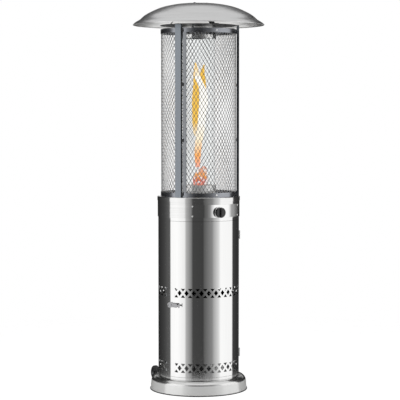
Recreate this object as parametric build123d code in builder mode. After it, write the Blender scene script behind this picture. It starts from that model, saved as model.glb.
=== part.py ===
from build123d import *
from math import cos, degrees, radians, sin, sqrt
import os

os.makedirs("parts", exist_ok=True)

# A free-standing gas patio heater with a flame in a glass tube. Millimetres, +Z up. The origin is on the
# floor, on the centre line. The front, with the knob, faces -Y. A bearing is an angle round the axis in
# degrees, 0 at the front and growing towards +X.

# Sheets, seats and fits that every piece shares
sheet = 1.2
plate = 2.0
seat_gap = 0.3
running_gap = 0.05
screw_gap = 0.3
cut_overrun = 2.0
front_heading = -90.0
half_turn = 180.0
full_turn = 360.0

# Drum-shaped base
base_h = 66.5
base_foot_r = 225.5
base_corner_r = 219.0
base_shoulder_r = 27.0
base_drain_r = 20.0

# Rubber edge under the base, and the plate that closes it
trim_r = 228.0
trim_h = 8.0
trim_foot_h = 3.7
trim_inner_r = 212.0
floor_plate_thick = 1.5
floor_plate_rim_gap = 1.7

# Cast ring that keeps the heater upright
ballast_r = 200.0
ballast_bore_r = 60.0
ballast_thick = 22.0

# Two transport wheels behind the base
wheel_r = 36.0
wheel_width = 16.0
wheel_tread_round = 3.0
wheel_recess_r = 25.0
wheel_recess_depth = 4.0
wheel_hub_r = 11.0
wheel_hub_width = 20.0
wheel_place_x = 95.0
axle_r = 5.0
axle_half_length = 112.0
axle_y = 250.0
axle_z = 42.0
axle_cap_r = 9.0
axle_cap_thick = 5.0
ear_place_x = 70.0
ear_thick = 3.0
ear_nose_r = 12.0
bracket_plate_thick = 2.5
bracket_plate_low = 14.0
bracket_plate_high = 40.0
bracket_half_angle = 22.0

# Button-head bolts of the base and of the hat
bolt_shank_r = 3.0
bolt_shank_l = 12.0
bolt_head_r = 5.5
bolt_head_h = 3.3
bolt_head_round = 1.6
bolt_socket_r = 1.8
bolt_socket_depth = 1.8
bracket_bolt_angle = 15.0
nut_across = 10.0
nut_h = 5.0

# Bottle housing, a tall tube with a door opening at the front
housing_r = 188.5
sill_h = 13.5
door_h = 716.7
door_gap = 1.0
top_ring_h = 15.0
housing_tuck_h = 14.0
latch_seam_bearing = -76.5
hinge_bearing = 62.0

# Feet that hold the housing to the base
foot_count = 4
foot_first_bearing = 45.0
foot_width = 24.0
foot_depth = 26.0
foot_upright_h = 30.0
foot_bolt_inset = 15.0

# Rows of crossed strands cut in the housing and the door
lattice_pitch_angle = 10.5
lattice_half_h = 21.0
lattice_strand_half = 4.9
lattice_corner_r = 1.0
upper_lattice_z = 469.0
lower_lattice_z = 123.0
door_first_cross_bearing = -62.75
door_cross_count = 12
housing_first_cross_bearing = 77.5
housing_cross_count = 20

# Strip that stops the door at its latch edge
jamb_thick = 1.2
jamb_back_angle = 7.5
jamb_front_angle = 1.0

# Door hinges
hinge_axis_r = 190.6
hinge_barrel_r = 3.8
hinge_pin_r = 1.9
hinge_pin_head_r = 3.0
hinge_pin_head_h = 1.0
hinge_h = 38.0
hinge_middle_h = 13.0
hinge_step_gap = 0.4
hinge_notch_r = 5.2
hinge_leaf_thick = 1.5
hinge_leaf_start = 2.6
hinge_leaf_width = 17.0
hinge_web_width = 3.0
upper_hinge_z = 723.0
lower_hinge_z = 170.0

# Turn latch on the door
latch_bearing = -72.5
latch_z = 411.5
latch_boss_r = 12.5
latch_rosette_face = 193.0
latch_handle_back = 193.4
latch_handle_thick = 4.6
latch_dish_r = 8.0
latch_dish_depth = 1.6
latch_lever_length = 45.0
latch_lever_h = 19.0
latch_lever_thick = 2.4
latch_neck_h = 7.0
latch_tab_place = 58.0
latch_tab_h = 17.0
latch_tab_thick = 3.0
latch_tab_rise = 7.0
latch_corner_r = 3.0
latch_spindle_r = 4.0
latch_cam_outer_face = 181.8
latch_cam_thick = 2.0
latch_cam_reach = 17.0
latch_cam_h = 14.0
latch_peen_r = 5.5
latch_peen_thick = 1.5

# Control drum and its top deck
drum_r = 191.0
drum_h = 74.0
drum_ledge_width = 11.0
deck_r = 192.5
deck_h = 20.0
deck_sheet = 1.5
deck_edge_round = 2.5
deck_hole_r = 30.0
deck_slot_count = 12
deck_slot_r = 4.0
deck_slot_circle_r = 56.0
deck_slot_start = 15.0

# Curved control panel, its screws and the knob
panel_half_angle = 41.5
panel_low_inset = 3.0
panel_h = 58.4
panel_corner_r = 5.0
panel_screw_angle = 38.4
panel_screw_inset = 6.5
panel_screw_head_r = 3.6
panel_screw_head_h = 2.0
panel_screw_shank_r = 1.8
panel_screw_shank_l = 6.0
knob_z = 838.0
bezel_r = 25.5
bezel_face = 196.0
bezel_edge_round = 1.0
knob_r = 23.5
knob_travel = 4.0
knob_travel_gap = 0.5
knob_disc_thick = 8.0
knob_edge_round = 2.0
knob_grip_width = 11.0
knob_grip_length = 40.0
knob_grip_rise = 11.0
knob_grip_round = 2.5
knob_mark_length = 9.0
knob_mark_width = 1.6
knob_mark_depth = 0.6
spindle_r = 4.0
spindle_collar_r = 6.5
spindle_collar_thick = 2.1
spindle_inner_end = 140.0
spindle_knob_depth = 13.4
panel_bore_r = 8.5

# Push return under the knob
plunger_r = 9.0
plunger_thick = 2.0
plunger_wall_gap = 1.1
spring_coil_r = 6.6
spring_wire_r = 0.55
spring_half_turns = 9

# Gas valve, its bracket and what is fixed to it
valve_front = 166.0
valve_width = 44.0
valve_depth = 40.0
valve_h = 36.0
valve_edge_round = 3.0
valve_nose_r = 11.0
valve_nose_length = 8.0
bracket_half_width = 48.0
bracket_h = 50.0
bracket_hole_gap = 0.2
igniter_place_x = 35.0
igniter_width = 20.0
igniter_depth = 30.0
igniter_h = 40.0
tilt_place_x = -35.0
tilt_r = 8.0
tilt_length = 30.0
inlet_hex_across = 17.0
inlet_hex_h = 13.0
inlet_stub_r = 6.5
inlet_stub_h = 20.0
inlet_bore_r = 3.0

# Gas pipe, injector, burner tube and burner
pipe_r = 4.0
pipe_wall = 1.0
pipe_bend_r = 12.0
pipe_side_step = 22.0
pipe_nut_across = 14.0
pipe_nut_length = 9.0
injector_r = 12.0
injector_h = 24.0
venturi_r = 14.0
venturi_wall = 1.2
burner_r = 46.0
burner_h = 40.0
burner_port_count = 24
burner_port_r = 2.2
burner_port_drop = 8.0
burner_top_port_r = 3.0
burner_top_ports = 6
burner_top_circle_r = 26.0

# Igniter electrode and flame sensor beside the burner
electrode_bearing = 30.0
sensor_bearing = -30.0
probe_circle_r = 57.5
probe_r = 3.0
probe_tip_r = 1.2
probe_body_h = 26.0
probe_tip_h = 12.0
probe_below_deck = 14.0
probe_shoulder_r = 4.5
probe_shoulder_h = 4.0
probe_tip_lean = 0.5
lead_r = 1.5
lead_bend_r = 14.0

# Glass tube and the two collars that hold it
collar_r = 81.0
collar_flange_r = 95.0
lower_cup_h = 52.0
cup_ledge_height = 22.0
cup_ledge_inner_r = 65.0
glass_r = 76.0
glass_wall = 3.0
glass_h = 754.0
gasket_h = 8.0
gasket_lip = 2.0
upper_collar_drop = 60.0

# Guard of expanded metal round the glass
guard_r = 174.5
guard_sheet = 1.5
guard_h = 771.2
band_h = 20.0
band_thick = 1.4
mesh_columns = 24
mesh_rows = 9
mesh_strand = 5.0
seam_strip_bearing = -51.0
seam_strip_width = 17.0
seam_strip_thick = 1.2
band_screw_bearing = -2.3

# Three posts outside the guard, and the clips that hold the guard to them
post_bearings = [-60.0, 60.0, 180.0]
post_names = ["front_left_post", "front_right_post", "rear_post"]
post_inner_face = 176.6
post_width = 30.0
post_depth = 11.4
post_wall = 1.5
post_h = 787.7
clip_width = 5.0
clip_depth = 8.0
clip_h = 15.0
clip_height_shares = [0.02, 0.331, 0.653, 0.965]
frame_screw_head_r = 4.0
frame_screw_head_h = 2.2
frame_screw_shank_r = 2.0
frame_screw_shank_l = 7.0

# Ring plate on the posts, hat spider and hat
ring_plate_r = 178.0
ring_plate_ear_r = 188.0
ring_plate_ear_width = 30.0
spider_foot_outer_r = 168.0
spider_foot_inner_r = 134.0
spider_leg_width = 20.0
spider_leg_thick = 2.5
spider_bend_r = 8.0
spider_hub_r = 48.0
spider_screw_r = 152.0
hat_r = 305.0
hat_lift = 0.7
hat_rim_h = 6.0
hat_dome_h = 101.0
hat_sheet = 1.2
hat_bolt_circle_r = 37.0
hat_radius_shares = [0.978, 0.894, 0.824, 0.716, 0.570, 0.400, 0.239, 0.0]
hat_height_shares = [0.085, 0.250, 0.434, 0.617, 0.801, 0.922, 0.983, 1.0]

# Heights that follow from the sizes above
base_foot_z = trim_foot_h + seat_gap
housing_z0 = base_h + seat_gap
door_z0 = housing_z0 + sill_h
door_z1 = door_z0 + door_h
drum_z0 = door_z1 + top_ring_h
housing_z1 = drum_z0 + housing_tuck_h
drum_seam_z = drum_z0 + drum_h
deck_top = drum_seam_z + deck_h
deck_underside = deck_top - deck_sheet
guard_z0 = deck_top + seat_gap
guard_z1 = guard_z0 + guard_h
ring_plate_z0 = guard_z0 + post_h + seat_gap
ring_plate_top = ring_plate_z0 + plate
hat_rim_z = ring_plate_top + hat_lift
housing_inner_r = housing_r - sheet
drum_inner_r = drum_r - sheet
panel_face = drum_r + seat_gap + sheet
knob_back = bezel_face + knob_travel + knob_travel_gap
door_gap_angle = degrees(door_gap / housing_r)


# Shapes that several pieces share
def bearing_plane(bearing, radius, height):
    """A plane that faces straight out from the axis, its x along the wall and its y up."""
    turn = radians(bearing)
    out = Vector(sin(turn), -cos(turn), 0)
    along = Vector(cos(turn), sin(turn), 0)
    return Plane(origin=out * radius + Vector(0, 0, height), x_dir=along, z_dir=out)


def section_plane(bearing):
    """A plane through the axis, its x straight out and its y up."""
    turn = radians(bearing)
    return Plane(origin=(0, 0, 0), x_dir=(sin(turn), -cos(turn), 0), z_dir=(-cos(turn), -sin(turn), 0))


def curved_wall(outer_r, wall, low, high, start, end):
    """A curved sheet between two bearings."""
    with BuildPart() as piece:
        with BuildSketch(Plane.XY.offset(low)):
            with BuildLine():
                outer = CenterArc((0, 0), outer_r, start + front_heading, end - start)
                inner = CenterArc((0, 0), outer_r - wall, start + front_heading, end - start)
                Line(outer @ 0, inner @ 0)
                Line(outer @ 1, inner @ 1)
            make_face()
        extrude(amount=high - low)
    return piece.part


def round_wall(outer_r, wall, low, high):
    """A plain tube on the axis."""
    with BuildPart() as piece:
        with BuildSketch(Plane.XY.offset(low)):
            Circle(outer_r)
            Circle(outer_r - wall, mode=Mode.SUBTRACT)
        extrude(amount=high - low)
    return piece.part


def round_bar(plane, radius, length):
    """A round bar from a plane along its normal."""
    with BuildPart() as piece:
        with BuildSketch(plane):
            Circle(radius)
        extrude(amount=length)
    return piece.part


def socket_bolt(seat):
    """A button-head bolt whose head sits on a plane and whose shank goes behind it."""
    with BuildPart() as piece:
        with BuildSketch(seat):
            Circle(bolt_head_r)
        extrude(amount=bolt_head_h)
        fillet(piece.faces().sort_by(Axis(seat.origin, seat.z_dir))[-1].edges(), bolt_head_round)
        with BuildSketch(seat.offset(bolt_head_h)):
            RegularPolygon(bolt_socket_r, 6)
        extrude(amount=-bolt_socket_depth, mode=Mode.SUBTRACT)
        with BuildSketch(seat):
            Circle(bolt_shank_r)
        extrude(amount=-bolt_shank_l)
    return piece.part


def pan_screw(seat, head_r, head_h, shank_r, shank_l):
    """A pan-head screw whose head sits on a plane and whose shank goes behind it."""
    with BuildPart() as piece:
        with BuildSketch(seat):
            Circle(head_r)
        extrude(amount=head_h)
        fillet(piece.faces().sort_by(Axis(seat.origin, seat.z_dir))[-1].edges(), head_h / 2)
        with BuildSketch(seat):
            Circle(shank_r)
        extrude(amount=-shank_l)
    return piece.part


def side_radius(height):
    """The outer radius of the base's sloping side at a height."""
    slope = (base_foot_r - base_corner_r) / (base_h - base_foot_z)
    return base_foot_r - (height - base_foot_z) * slope


# Where the knob and the panel's screws go
knob_axis = bearing_plane(0, 0, knob_z)
panel_low = drum_z0 + panel_low_inset
panel_high = panel_low + panel_h
panel_screw_planes = [
    bearing_plane(angle, panel_face + running_gap, height)
    for angle in (-panel_screw_angle, panel_screw_angle)
    for height in (panel_low + panel_screw_inset, panel_high - panel_screw_inset)
]

# Where the bolts of the base go
foot_bolt_r = housing_inner_r - seat_gap - foot_bolt_inset
foot_bearings = [foot_first_bearing + full_turn / foot_count * i for i in range(foot_count)]
bracket_bolt_z = (bracket_plate_low + bracket_plate_high) / 2
bracket_bolt_bearings = [half_turn - bracket_bolt_angle, half_turn, half_turn + bracket_bolt_angle]
foot_bolt_planes = [
    Plane(origin=bearing_plane(angle, foot_bolt_r, housing_z0 + plate + seat_gap).origin)
    for angle in foot_bearings
]
bracket_face_r = side_radius(bracket_bolt_z - bolt_head_r) + seat_gap + bracket_plate_thick
bracket_bolt_planes = [
    bearing_plane(angle, bracket_face_r + seat_gap, bracket_bolt_z) for angle in bracket_bolt_bearings
]

# Base shell: one pressed and brushed sheet with a large rounded shoulder and a slightly flared side
with BuildPart() as base_shell:
    with BuildSketch(Plane.XZ):
        with BuildLine() as base_line:
            FilletPolyline(
                (base_drain_r, base_h - sheet / 2),
                (base_corner_r - sheet / 2, base_h - sheet / 2),
                (base_foot_r - sheet / 2, base_foot_z),
                radius=base_shoulder_r,
            )
        trace(base_line.line, line_width=sheet)
    revolve(axis=Axis.Z)
    for bolt_plane in foot_bolt_planes + bracket_bolt_planes:
        add(round_bar(bolt_plane, bolt_shank_r + screw_gap, -bolt_shank_l), mode=Mode.SUBTRACT)
base_shell.part.label = "base_shell"
export_step(base_shell.part, "parts/base_shell.step")

# Rubber edge that the whole heater stands on
with BuildPart() as base_edge_trim:
    with BuildSketch(Plane.XZ):
        with BuildLine():
            Polyline(
                (trim_inner_r, 0),
                (trim_r, 0),
                (trim_r, trim_h),
                (base_foot_r + seat_gap, trim_h),
                (base_foot_r + seat_gap, trim_foot_h),
                (trim_inner_r, trim_foot_h),
                close=True,
            )
        make_face()
    revolve(axis=Axis.Z)
base_edge_trim.part.label = "base_edge_trim"
export_step(base_edge_trim.part, "parts/base_edge_trim.step")

# Steel plate that closes the base from below
with BuildPart() as base_floor_plate:
    with BuildSketch(Plane.XY.offset(base_foot_z)):
        Circle(base_foot_r - floor_plate_rim_gap)
        Circle(base_drain_r, mode=Mode.SUBTRACT)
    extrude(amount=floor_plate_thick)
base_floor_plate.part.label = "base_floor_plate"
export_step(base_floor_plate.part, "parts/base_floor_plate.step")

# Cast ballast ring inside the base
ballast_z = base_foot_z + floor_plate_thick + seat_gap
with BuildPart() as ballast_ring:
    add(round_wall(ballast_r, ballast_r - ballast_bore_r, ballast_z, ballast_z + ballast_thick))
ballast_ring.part.label = "ballast_ring"
export_step(ballast_ring.part, "parts/ballast_ring.step")

# Wheel bracket: a curved plate on the back of the base with two ears for the axle
with BuildPart() as wheel_bracket:
    ear_root_y = side_radius(axle_z) - ear_nose_r
    for side in (-1, 1):
        with BuildSketch(Plane.YZ.offset(side * ear_place_x - ear_thick / 2)):
            with Locations((axle_y, axle_z)):
                Circle(ear_nose_r)
            with Locations(((ear_root_y + axle_y) / 2, axle_z)):
                Rectangle(axle_y - ear_root_y, 2 * ear_nose_r)
            with Locations((axle_y, axle_z)):
                Circle(axle_r + running_gap, mode=Mode.SUBTRACT)
        extrude(amount=ear_thick)
    with BuildSketch(Plane.XZ):
        with BuildLine():
            Polyline(
                (0, 0),
                (side_radius(0) + seat_gap, 0),
                (side_radius(base_h) + seat_gap, base_h),
                (0, base_h),
                close=True,
            )
        make_face()
    revolve(axis=Axis.Z, mode=Mode.SUBTRACT)
    with BuildSketch(section_plane(half_turn - bracket_half_angle)):
        with BuildLine():
            Polyline(
                (side_radius(bracket_plate_low) + seat_gap, bracket_plate_low),
                (side_radius(bracket_plate_low) + seat_gap + bracket_plate_thick, bracket_plate_low),
                (side_radius(bracket_plate_high) + seat_gap + bracket_plate_thick, bracket_plate_high),
                (side_radius(bracket_plate_high) + seat_gap, bracket_plate_high),
                close=True,
            )
        make_face()
    revolve(axis=Axis.Z, revolution_arc=2 * bracket_half_angle)
    for bolt_plane in bracket_bolt_planes:
        add(round_bar(bolt_plane, bolt_shank_r + screw_gap, -bolt_shank_l), mode=Mode.SUBTRACT)
wheel_bracket.part.label = "wheel_bracket"
export_step(wheel_bracket.part, "parts/wheel_bracket.step")

# Steel axle through both ears
with BuildPart() as wheel_axle:
    with BuildSketch(Plane.YZ.offset(-axle_half_length)):
        with Locations((axle_y, axle_z)):
            Circle(axle_r)
    extrude(amount=2 * axle_half_length)
wheel_axle.part.label = "wheel_axle"
export_step(wheel_axle.part, "parts/wheel_axle.step")

# Push-on caps at the axle's ends
cap_start = wheel_place_x + wheel_hub_width / 2 + seat_gap
with BuildPart() as axle_caps:
    for side in (-1, 1):
        with BuildSketch(Plane.YZ.offset(side * cap_start)):
            with Locations((axle_y, axle_z)):
                Circle(axle_cap_r)
                Circle(axle_r + running_gap, mode=Mode.SUBTRACT)
        extrude(amount=side * axle_cap_thick)
axle_caps.part.label = "axle_caps"
export_step(axle_caps.part, "parts/axle_caps.step")

# Moulded wheels with a rounded tread and a dished face
for wheel_name, side in (("left_wheel", -1), ("right_wheel", 1)):
    with BuildPart() as wheel:
        with BuildSketch(Plane.YZ.offset(side * wheel_place_x - wheel_width / 2)):
            with Locations((axle_y, axle_z)):
                Circle(wheel_r)
        extrude(amount=wheel_width)
        fillet(wheel.edges().filter_by(GeomType.CIRCLE), wheel_tread_round)
        for face_x, inward in ((-wheel_width / 2, 1), (wheel_width / 2, -1)):
            with BuildSketch(Plane.YZ.offset(side * wheel_place_x + face_x)):
                with Locations((axle_y, axle_z)):
                    Circle(wheel_recess_r)
                    Circle(wheel_hub_r, mode=Mode.SUBTRACT)
            extrude(amount=inward * wheel_recess_depth, mode=Mode.SUBTRACT)
        with BuildSketch(Plane.YZ.offset(side * wheel_place_x - wheel_hub_width / 2)):
            with Locations((axle_y, axle_z)):
                Circle(wheel_hub_r)
        extrude(amount=wheel_hub_width)
        with BuildSketch(Plane.YZ.offset(side * wheel_place_x - wheel_hub_width / 2)):
            with Locations((axle_y, axle_z)):
                Circle(axle_r + running_gap)
        extrude(amount=wheel_hub_width, mode=Mode.SUBTRACT)
    wheel.part.label = wheel_name
    export_step(wheel.part, "parts/" + wheel_name + ".step")

# Bolts of the housing feet and of the wheel bracket
with BuildPart() as base_bolts:
    for bolt_plane in foot_bolt_planes + bracket_bolt_planes:
        add(socket_bolt(bolt_plane))
base_bolts.part.label = "base_bolts"
export_step(base_bolts.part, "parts/base_bolts.step")

# Angle brackets between the base and the housing
with BuildPart() as housing_feet:
    for angle in foot_bearings:
        upright_face = housing_inner_r - seat_gap - plate
        with BuildSketch(bearing_plane(angle, upright_face - foot_depth, housing_z0)):
            with Locations((0, plate / 2)):
                Rectangle(foot_width, plate)
        extrude(amount=foot_depth)
        with BuildSketch(bearing_plane(angle, upright_face - plate, housing_z0)):
            with Locations((0, foot_upright_h / 2)):
                Rectangle(foot_width, foot_upright_h)
        extrude(amount=plate)
    for bolt_plane in foot_bolt_planes:
        add(round_bar(bolt_plane, bolt_shank_r + screw_gap, -bolt_shank_l), mode=Mode.SUBTRACT)
housing_feet.part.label = "housing_feet"
export_step(housing_feet.part, "parts/housing_feet.step")

# Openings of the lattice rows: a diamond between crosses, and a triangle above and below each cross
lattice_half_pitch = housing_r * radians(lattice_pitch_angle) / 2
strand_run = sqrt(lattice_half_pitch**2 + lattice_half_h**2)
diamond_share = 1 - lattice_strand_half * strand_run / (lattice_half_pitch * lattice_half_h)
triangle_apex = lattice_strand_half * strand_run / lattice_half_pitch
triangle_half = (lattice_half_h - triangle_apex) * lattice_half_pitch / lattice_half_h
lattice_cut = sheet + 2 * cut_overrun

with BuildPart() as diamond_holes:
    for row_z in (upper_lattice_z, lower_lattice_z):
        with BuildSketch(bearing_plane(0, housing_inner_r - cut_overrun, row_z)) as diamond_sketch:
            with BuildLine():
                Polyline(
                    (-lattice_half_pitch * diamond_share, 0),
                    (0, -lattice_half_h * diamond_share),
                    (lattice_half_pitch * diamond_share, 0),
                    (0, lattice_half_h * diamond_share),
                    close=True,
                )
            make_face()
            fillet(diamond_sketch.vertices(), lattice_corner_r)
        extrude(amount=lattice_cut)

with BuildPart() as triangle_holes:
    for row_z in (upper_lattice_z, lower_lattice_z):
        for up in (-1, 1):
            with BuildSketch(bearing_plane(0, housing_inner_r - cut_overrun, row_z)) as triangle_sketch:
                with BuildLine():
                    Polyline(
                        (0, up * triangle_apex),
                        (triangle_half, up * lattice_half_h),
                        (-triangle_half, up * lattice_half_h),
                        close=True,
                    )
                make_face()
                fillet(triangle_sketch.vertices(), lattice_corner_r)
            extrude(amount=lattice_cut)


def lattice_spots(first_bearing, crosses):
    """Places round the axis for a run of crosses, one lattice pitch apart."""
    span = lattice_pitch_angle * (crosses - 1)
    return PolarLocations(0, crosses, start_angle=first_bearing, angular_range=span, endpoint=True)


hinge_heights = (lower_hinge_z, upper_hinge_z)


def hinge_notch(centre_z):
    """The room that a hinge's barrels and pin head take out of both sheets."""
    seat = bearing_plane(hinge_bearing, hinge_axis_r, centre_z - hinge_h / 2 - hinge_step_gap).origin
    return round_bar(Plane(origin=seat), hinge_notch_r, hinge_h + hinge_pin_head_h + 2 * hinge_step_gap)


# Housing: a tube of polished sheet, open at the front between a sill and a top ring
with BuildPart() as housing_shell:
    add(round_wall(housing_r, sheet, housing_z0, housing_z1))
    add(
        curved_wall(
            housing_r + cut_overrun,
            sheet + 2 * cut_overrun,
            door_z0 - door_gap,
            door_z1 + door_gap,
            latch_seam_bearing,
            hinge_bearing,
        ),
        mode=Mode.SUBTRACT,
    )
    with lattice_spots(housing_first_cross_bearing, housing_cross_count):
        add(triangle_holes.part, mode=Mode.SUBTRACT)
    with lattice_spots(housing_first_cross_bearing + lattice_pitch_angle / 2, housing_cross_count - 1):
        add(diamond_holes.part, mode=Mode.SUBTRACT)
    for screw_plane in panel_screw_planes:
        add(round_bar(screw_plane, panel_screw_shank_r + screw_gap, -panel_screw_shank_l), mode=Mode.SUBTRACT)
    for centre_z in hinge_heights:
        add(hinge_notch(centre_z), mode=Mode.SUBTRACT)
housing_shell.part.label = "housing_shell"
export_step(housing_shell.part, "parts/housing_shell.step")

# Door stop behind the latch edge
with BuildPart() as door_jamb_strip:
    add(
        curved_wall(
            housing_inner_r - seat_gap,
            jamb_thick,
            door_z0,
            door_z1,
            latch_seam_bearing - jamb_back_angle,
            latch_seam_bearing + jamb_front_angle,
        )
    )
door_jamb_strip.part.label = "door_jamb_strip"
export_step(door_jamb_strip.part, "parts/door_jamb_strip.step")

# Door: the rest of the tube, with the same two lattice rows
latch_axis = bearing_plane(latch_bearing, 0, latch_z)
with BuildPart() as door_shell:
    add(
        curved_wall(
            housing_r,
            sheet,
            door_z0,
            door_z1,
            latch_seam_bearing + door_gap_angle,
            hinge_bearing - door_gap_angle,
        )
    )
    with lattice_spots(door_first_cross_bearing, door_cross_count):
        add(triangle_holes.part, mode=Mode.SUBTRACT)
    with lattice_spots(door_first_cross_bearing + lattice_pitch_angle / 2, door_cross_count - 1):
        add(diamond_holes.part, mode=Mode.SUBTRACT)
    for centre_z in hinge_heights:
        add(hinge_notch(centre_z), mode=Mode.SUBTRACT)
    latch_hole_depth = 2 * (housing_r - latch_cam_outer_face)
    add(
        round_bar(latch_axis.offset(housing_r + cut_overrun), latch_spindle_r + screw_gap, -latch_hole_depth),
        mode=Mode.SUBTRACT,
    )
door_shell.part.label = "door_shell"
export_step(door_shell.part, "parts/door_shell.step")


def knuckle(side, low, high):
    """A hinge barrel from low to high, with the web to its leaf on one side of the hinge axis."""
    leaf_face = housing_inner_r - seat_gap - hinge_leaf_thick
    with BuildPart() as piece:
        with BuildSketch(bearing_plane(hinge_bearing, leaf_face, low)):
            with Locations((side * (hinge_web_width / 2), (high - low) / 2)):
                Rectangle(hinge_web_width, high - low)
        extrude(amount=hinge_axis_r - leaf_face)
        barrel = Plane(origin=bearing_plane(hinge_bearing, hinge_axis_r, low).origin)
        with BuildSketch(barrel):
            Circle(hinge_barrel_r)
        extrude(amount=high - low)
        with BuildSketch(barrel):
            Circle(hinge_pin_r + running_gap)
        extrude(amount=high - low, mode=Mode.SUBTRACT)
    return piece.part


def leaf(side, low, high):
    """A curved leaf against the inside of the sheet."""
    near = side * degrees(hinge_leaf_start / hinge_axis_r)
    far = side * degrees(hinge_leaf_width / hinge_axis_r)
    first = hinge_bearing + min(near, far)
    last = hinge_bearing + max(near, far)
    return curved_wall(housing_inner_r - seat_gap, hinge_leaf_thick, low, high, first, last)


# Hinge halves: two barrels on the housing, one between them on the door
with BuildPart() as hinge_frame_leaves:
    for centre_z in hinge_heights:
        middle_edge = hinge_middle_h / 2 + hinge_step_gap
        add(leaf(1, centre_z - hinge_h / 2, centre_z + hinge_h / 2))
        add(knuckle(1, centre_z - hinge_h / 2, centre_z - middle_edge))
        add(knuckle(1, centre_z + middle_edge, centre_z + hinge_h / 2))
hinge_frame_leaves.part.label = "hinge_frame_leaves"
export_step(hinge_frame_leaves.part, "parts/hinge_frame_leaves.step")

with BuildPart() as hinge_door_leaves:
    for centre_z in hinge_heights:
        add(leaf(-1, centre_z - hinge_h / 2, centre_z + hinge_h / 2))
        add(knuckle(-1, centre_z - hinge_middle_h / 2, centre_z + hinge_middle_h / 2))
hinge_door_leaves.part.label = "hinge_door_leaves"
export_step(hinge_door_leaves.part, "parts/hinge_door_leaves.step")

# Hinge pins with a small head above the top barrel
with BuildPart() as hinge_pins:
    for centre_z in hinge_heights:
        pin_foot = bearing_plane(hinge_bearing, hinge_axis_r, centre_z - hinge_h / 2).origin
        pin_top = bearing_plane(hinge_bearing, hinge_axis_r, centre_z + hinge_h / 2 + running_gap).origin
        add(round_bar(Plane(origin=pin_foot), hinge_pin_r, hinge_h + running_gap))
        add(round_bar(Plane(origin=pin_top), hinge_pin_head_r, hinge_pin_head_h))
hinge_pins.part.label = "hinge_pins"
export_step(hinge_pins.part, "parts/hinge_pins.step")

# Latch rosette: a round pad that is curved behind, to sit on the door
with BuildPart() as latch_rosette:
    add(round_bar(latch_axis.offset(latch_cam_outer_face), latch_boss_r, latch_rosette_face - latch_cam_outer_face))
    add(
        round_bar(
            latch_axis.offset(latch_cam_outer_face - cut_overrun),
            latch_spindle_r + running_gap,
            latch_rosette_face - latch_cam_outer_face + 2 * cut_overrun,
        ),
        mode=Mode.SUBTRACT,
    )
    with BuildSketch():
        Circle(housing_r + seat_gap)
    extrude(amount=drum_z0, mode=Mode.SUBTRACT)
latch_rosette.part.label = "latch_rosette"
export_step(latch_rosette.part, "parts/latch_rosette.step")

# Latch handle: a dished round boss, a flat lever and a raised finger tab at its end
lever_back = latch_handle_back + latch_handle_thick / 2 - latch_lever_thick / 2
with BuildPart() as latch_handle:
    with BuildSketch(latch_axis.offset(lever_back)):
        with BuildLine():
            Polyline(
                (0, -latch_lever_h / 2),
                (latch_lever_length, -latch_lever_h / 2),
                (latch_lever_length, -latch_neck_h / 2),
                (latch_tab_place, -latch_neck_h / 2),
                (latch_tab_place, latch_neck_h / 2),
                (latch_lever_length, latch_neck_h / 2),
                (latch_lever_length, latch_lever_h / 2),
                (0, latch_lever_h / 2),
                close=True,
            )
        make_face()
    extrude(amount=latch_lever_thick)
    lever_corners = latch_handle.edges().filter_by(Axis(latch_axis.origin, latch_axis.z_dir))
    lever_end = lever_corners.sort_by(Axis(latch_axis.origin, latch_axis.x_dir)).group_by(
        Axis(latch_axis.origin, latch_axis.x_dir)
    )[1]
    outer_end = lever_end.sort_by(Axis.Z)
    fillet([outer_end[0], outer_end[-1]], latch_corner_r)
    with BuildSketch(latch_axis.offset(lever_back)):
        with Locations((latch_tab_place + latch_tab_thick / 2, 0)):
            Rectangle(latch_tab_thick, latch_tab_h)
    extrude(amount=latch_tab_rise)
    with BuildSketch(latch_axis.offset(latch_handle_back)):
        Circle(latch_boss_r)
    extrude(amount=latch_handle_thick)
    with BuildSketch(latch_axis.offset(latch_handle_back + latch_handle_thick)):
        Circle(latch_dish_r)
    extrude(amount=-latch_dish_depth, mode=Mode.SUBTRACT)
    with BuildSketch(latch_axis.offset(latch_handle_back)):
        Circle(latch_spindle_r + running_gap)
    extrude(amount=latch_handle_thick, mode=Mode.SUBTRACT)
latch_handle.part.label = "latch_handle"
export_step(latch_handle.part, "parts/latch_handle.step")

# Latch spindle, peened over behind the cam
cam_back = latch_cam_outer_face - latch_cam_thick
spindle_top = latch_handle_back + latch_handle_thick - latch_dish_depth
with BuildPart() as latch_spindle:
    add(round_bar(latch_axis.offset(cam_back), latch_spindle_r, spindle_top - cam_back))
    add(round_bar(latch_axis.offset(cam_back - running_gap), latch_peen_r, -latch_peen_thick))
    add(round_bar(latch_axis.offset(cam_back - running_gap), latch_spindle_r, running_gap))
latch_spindle.part.label = "latch_spindle"
export_step(latch_spindle.part, "parts/latch_spindle.step")

# Latch cam: the tongue that turns behind the door stop
with BuildPart() as latch_cam:
    with BuildSketch(latch_axis.offset(cam_back)):
        Circle(latch_cam_h / 2)
        with Locations((-latch_cam_reach / 2, 0)):
            Rectangle(latch_cam_reach, latch_cam_h)
        Circle(latch_spindle_r + running_gap, mode=Mode.SUBTRACT)
    extrude(amount=latch_cam_thick)
latch_cam.part.label = "latch_cam"
export_step(latch_cam.part, "parts/latch_cam.step")

# Control drum: a skirt over the housing's top, standing on an inner ledge
with BuildPart() as control_drum:
    add(round_wall(drum_r, sheet, drum_z0, deck_underside - seat_gap))
    add(round_wall(drum_inner_r, drum_ledge_width, housing_z1 + seat_gap, housing_z1 + seat_gap + sheet))
    add(round_bar(knob_axis.offset(valve_front), panel_bore_r, drum_r), mode=Mode.SUBTRACT)
    for screw_plane in panel_screw_planes:
        add(round_bar(screw_plane, panel_screw_shank_r + screw_gap, -panel_screw_shank_l), mode=Mode.SUBTRACT)
control_drum.part.label = "control_drum"
export_step(control_drum.part, "parts/control_drum.step")

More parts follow.
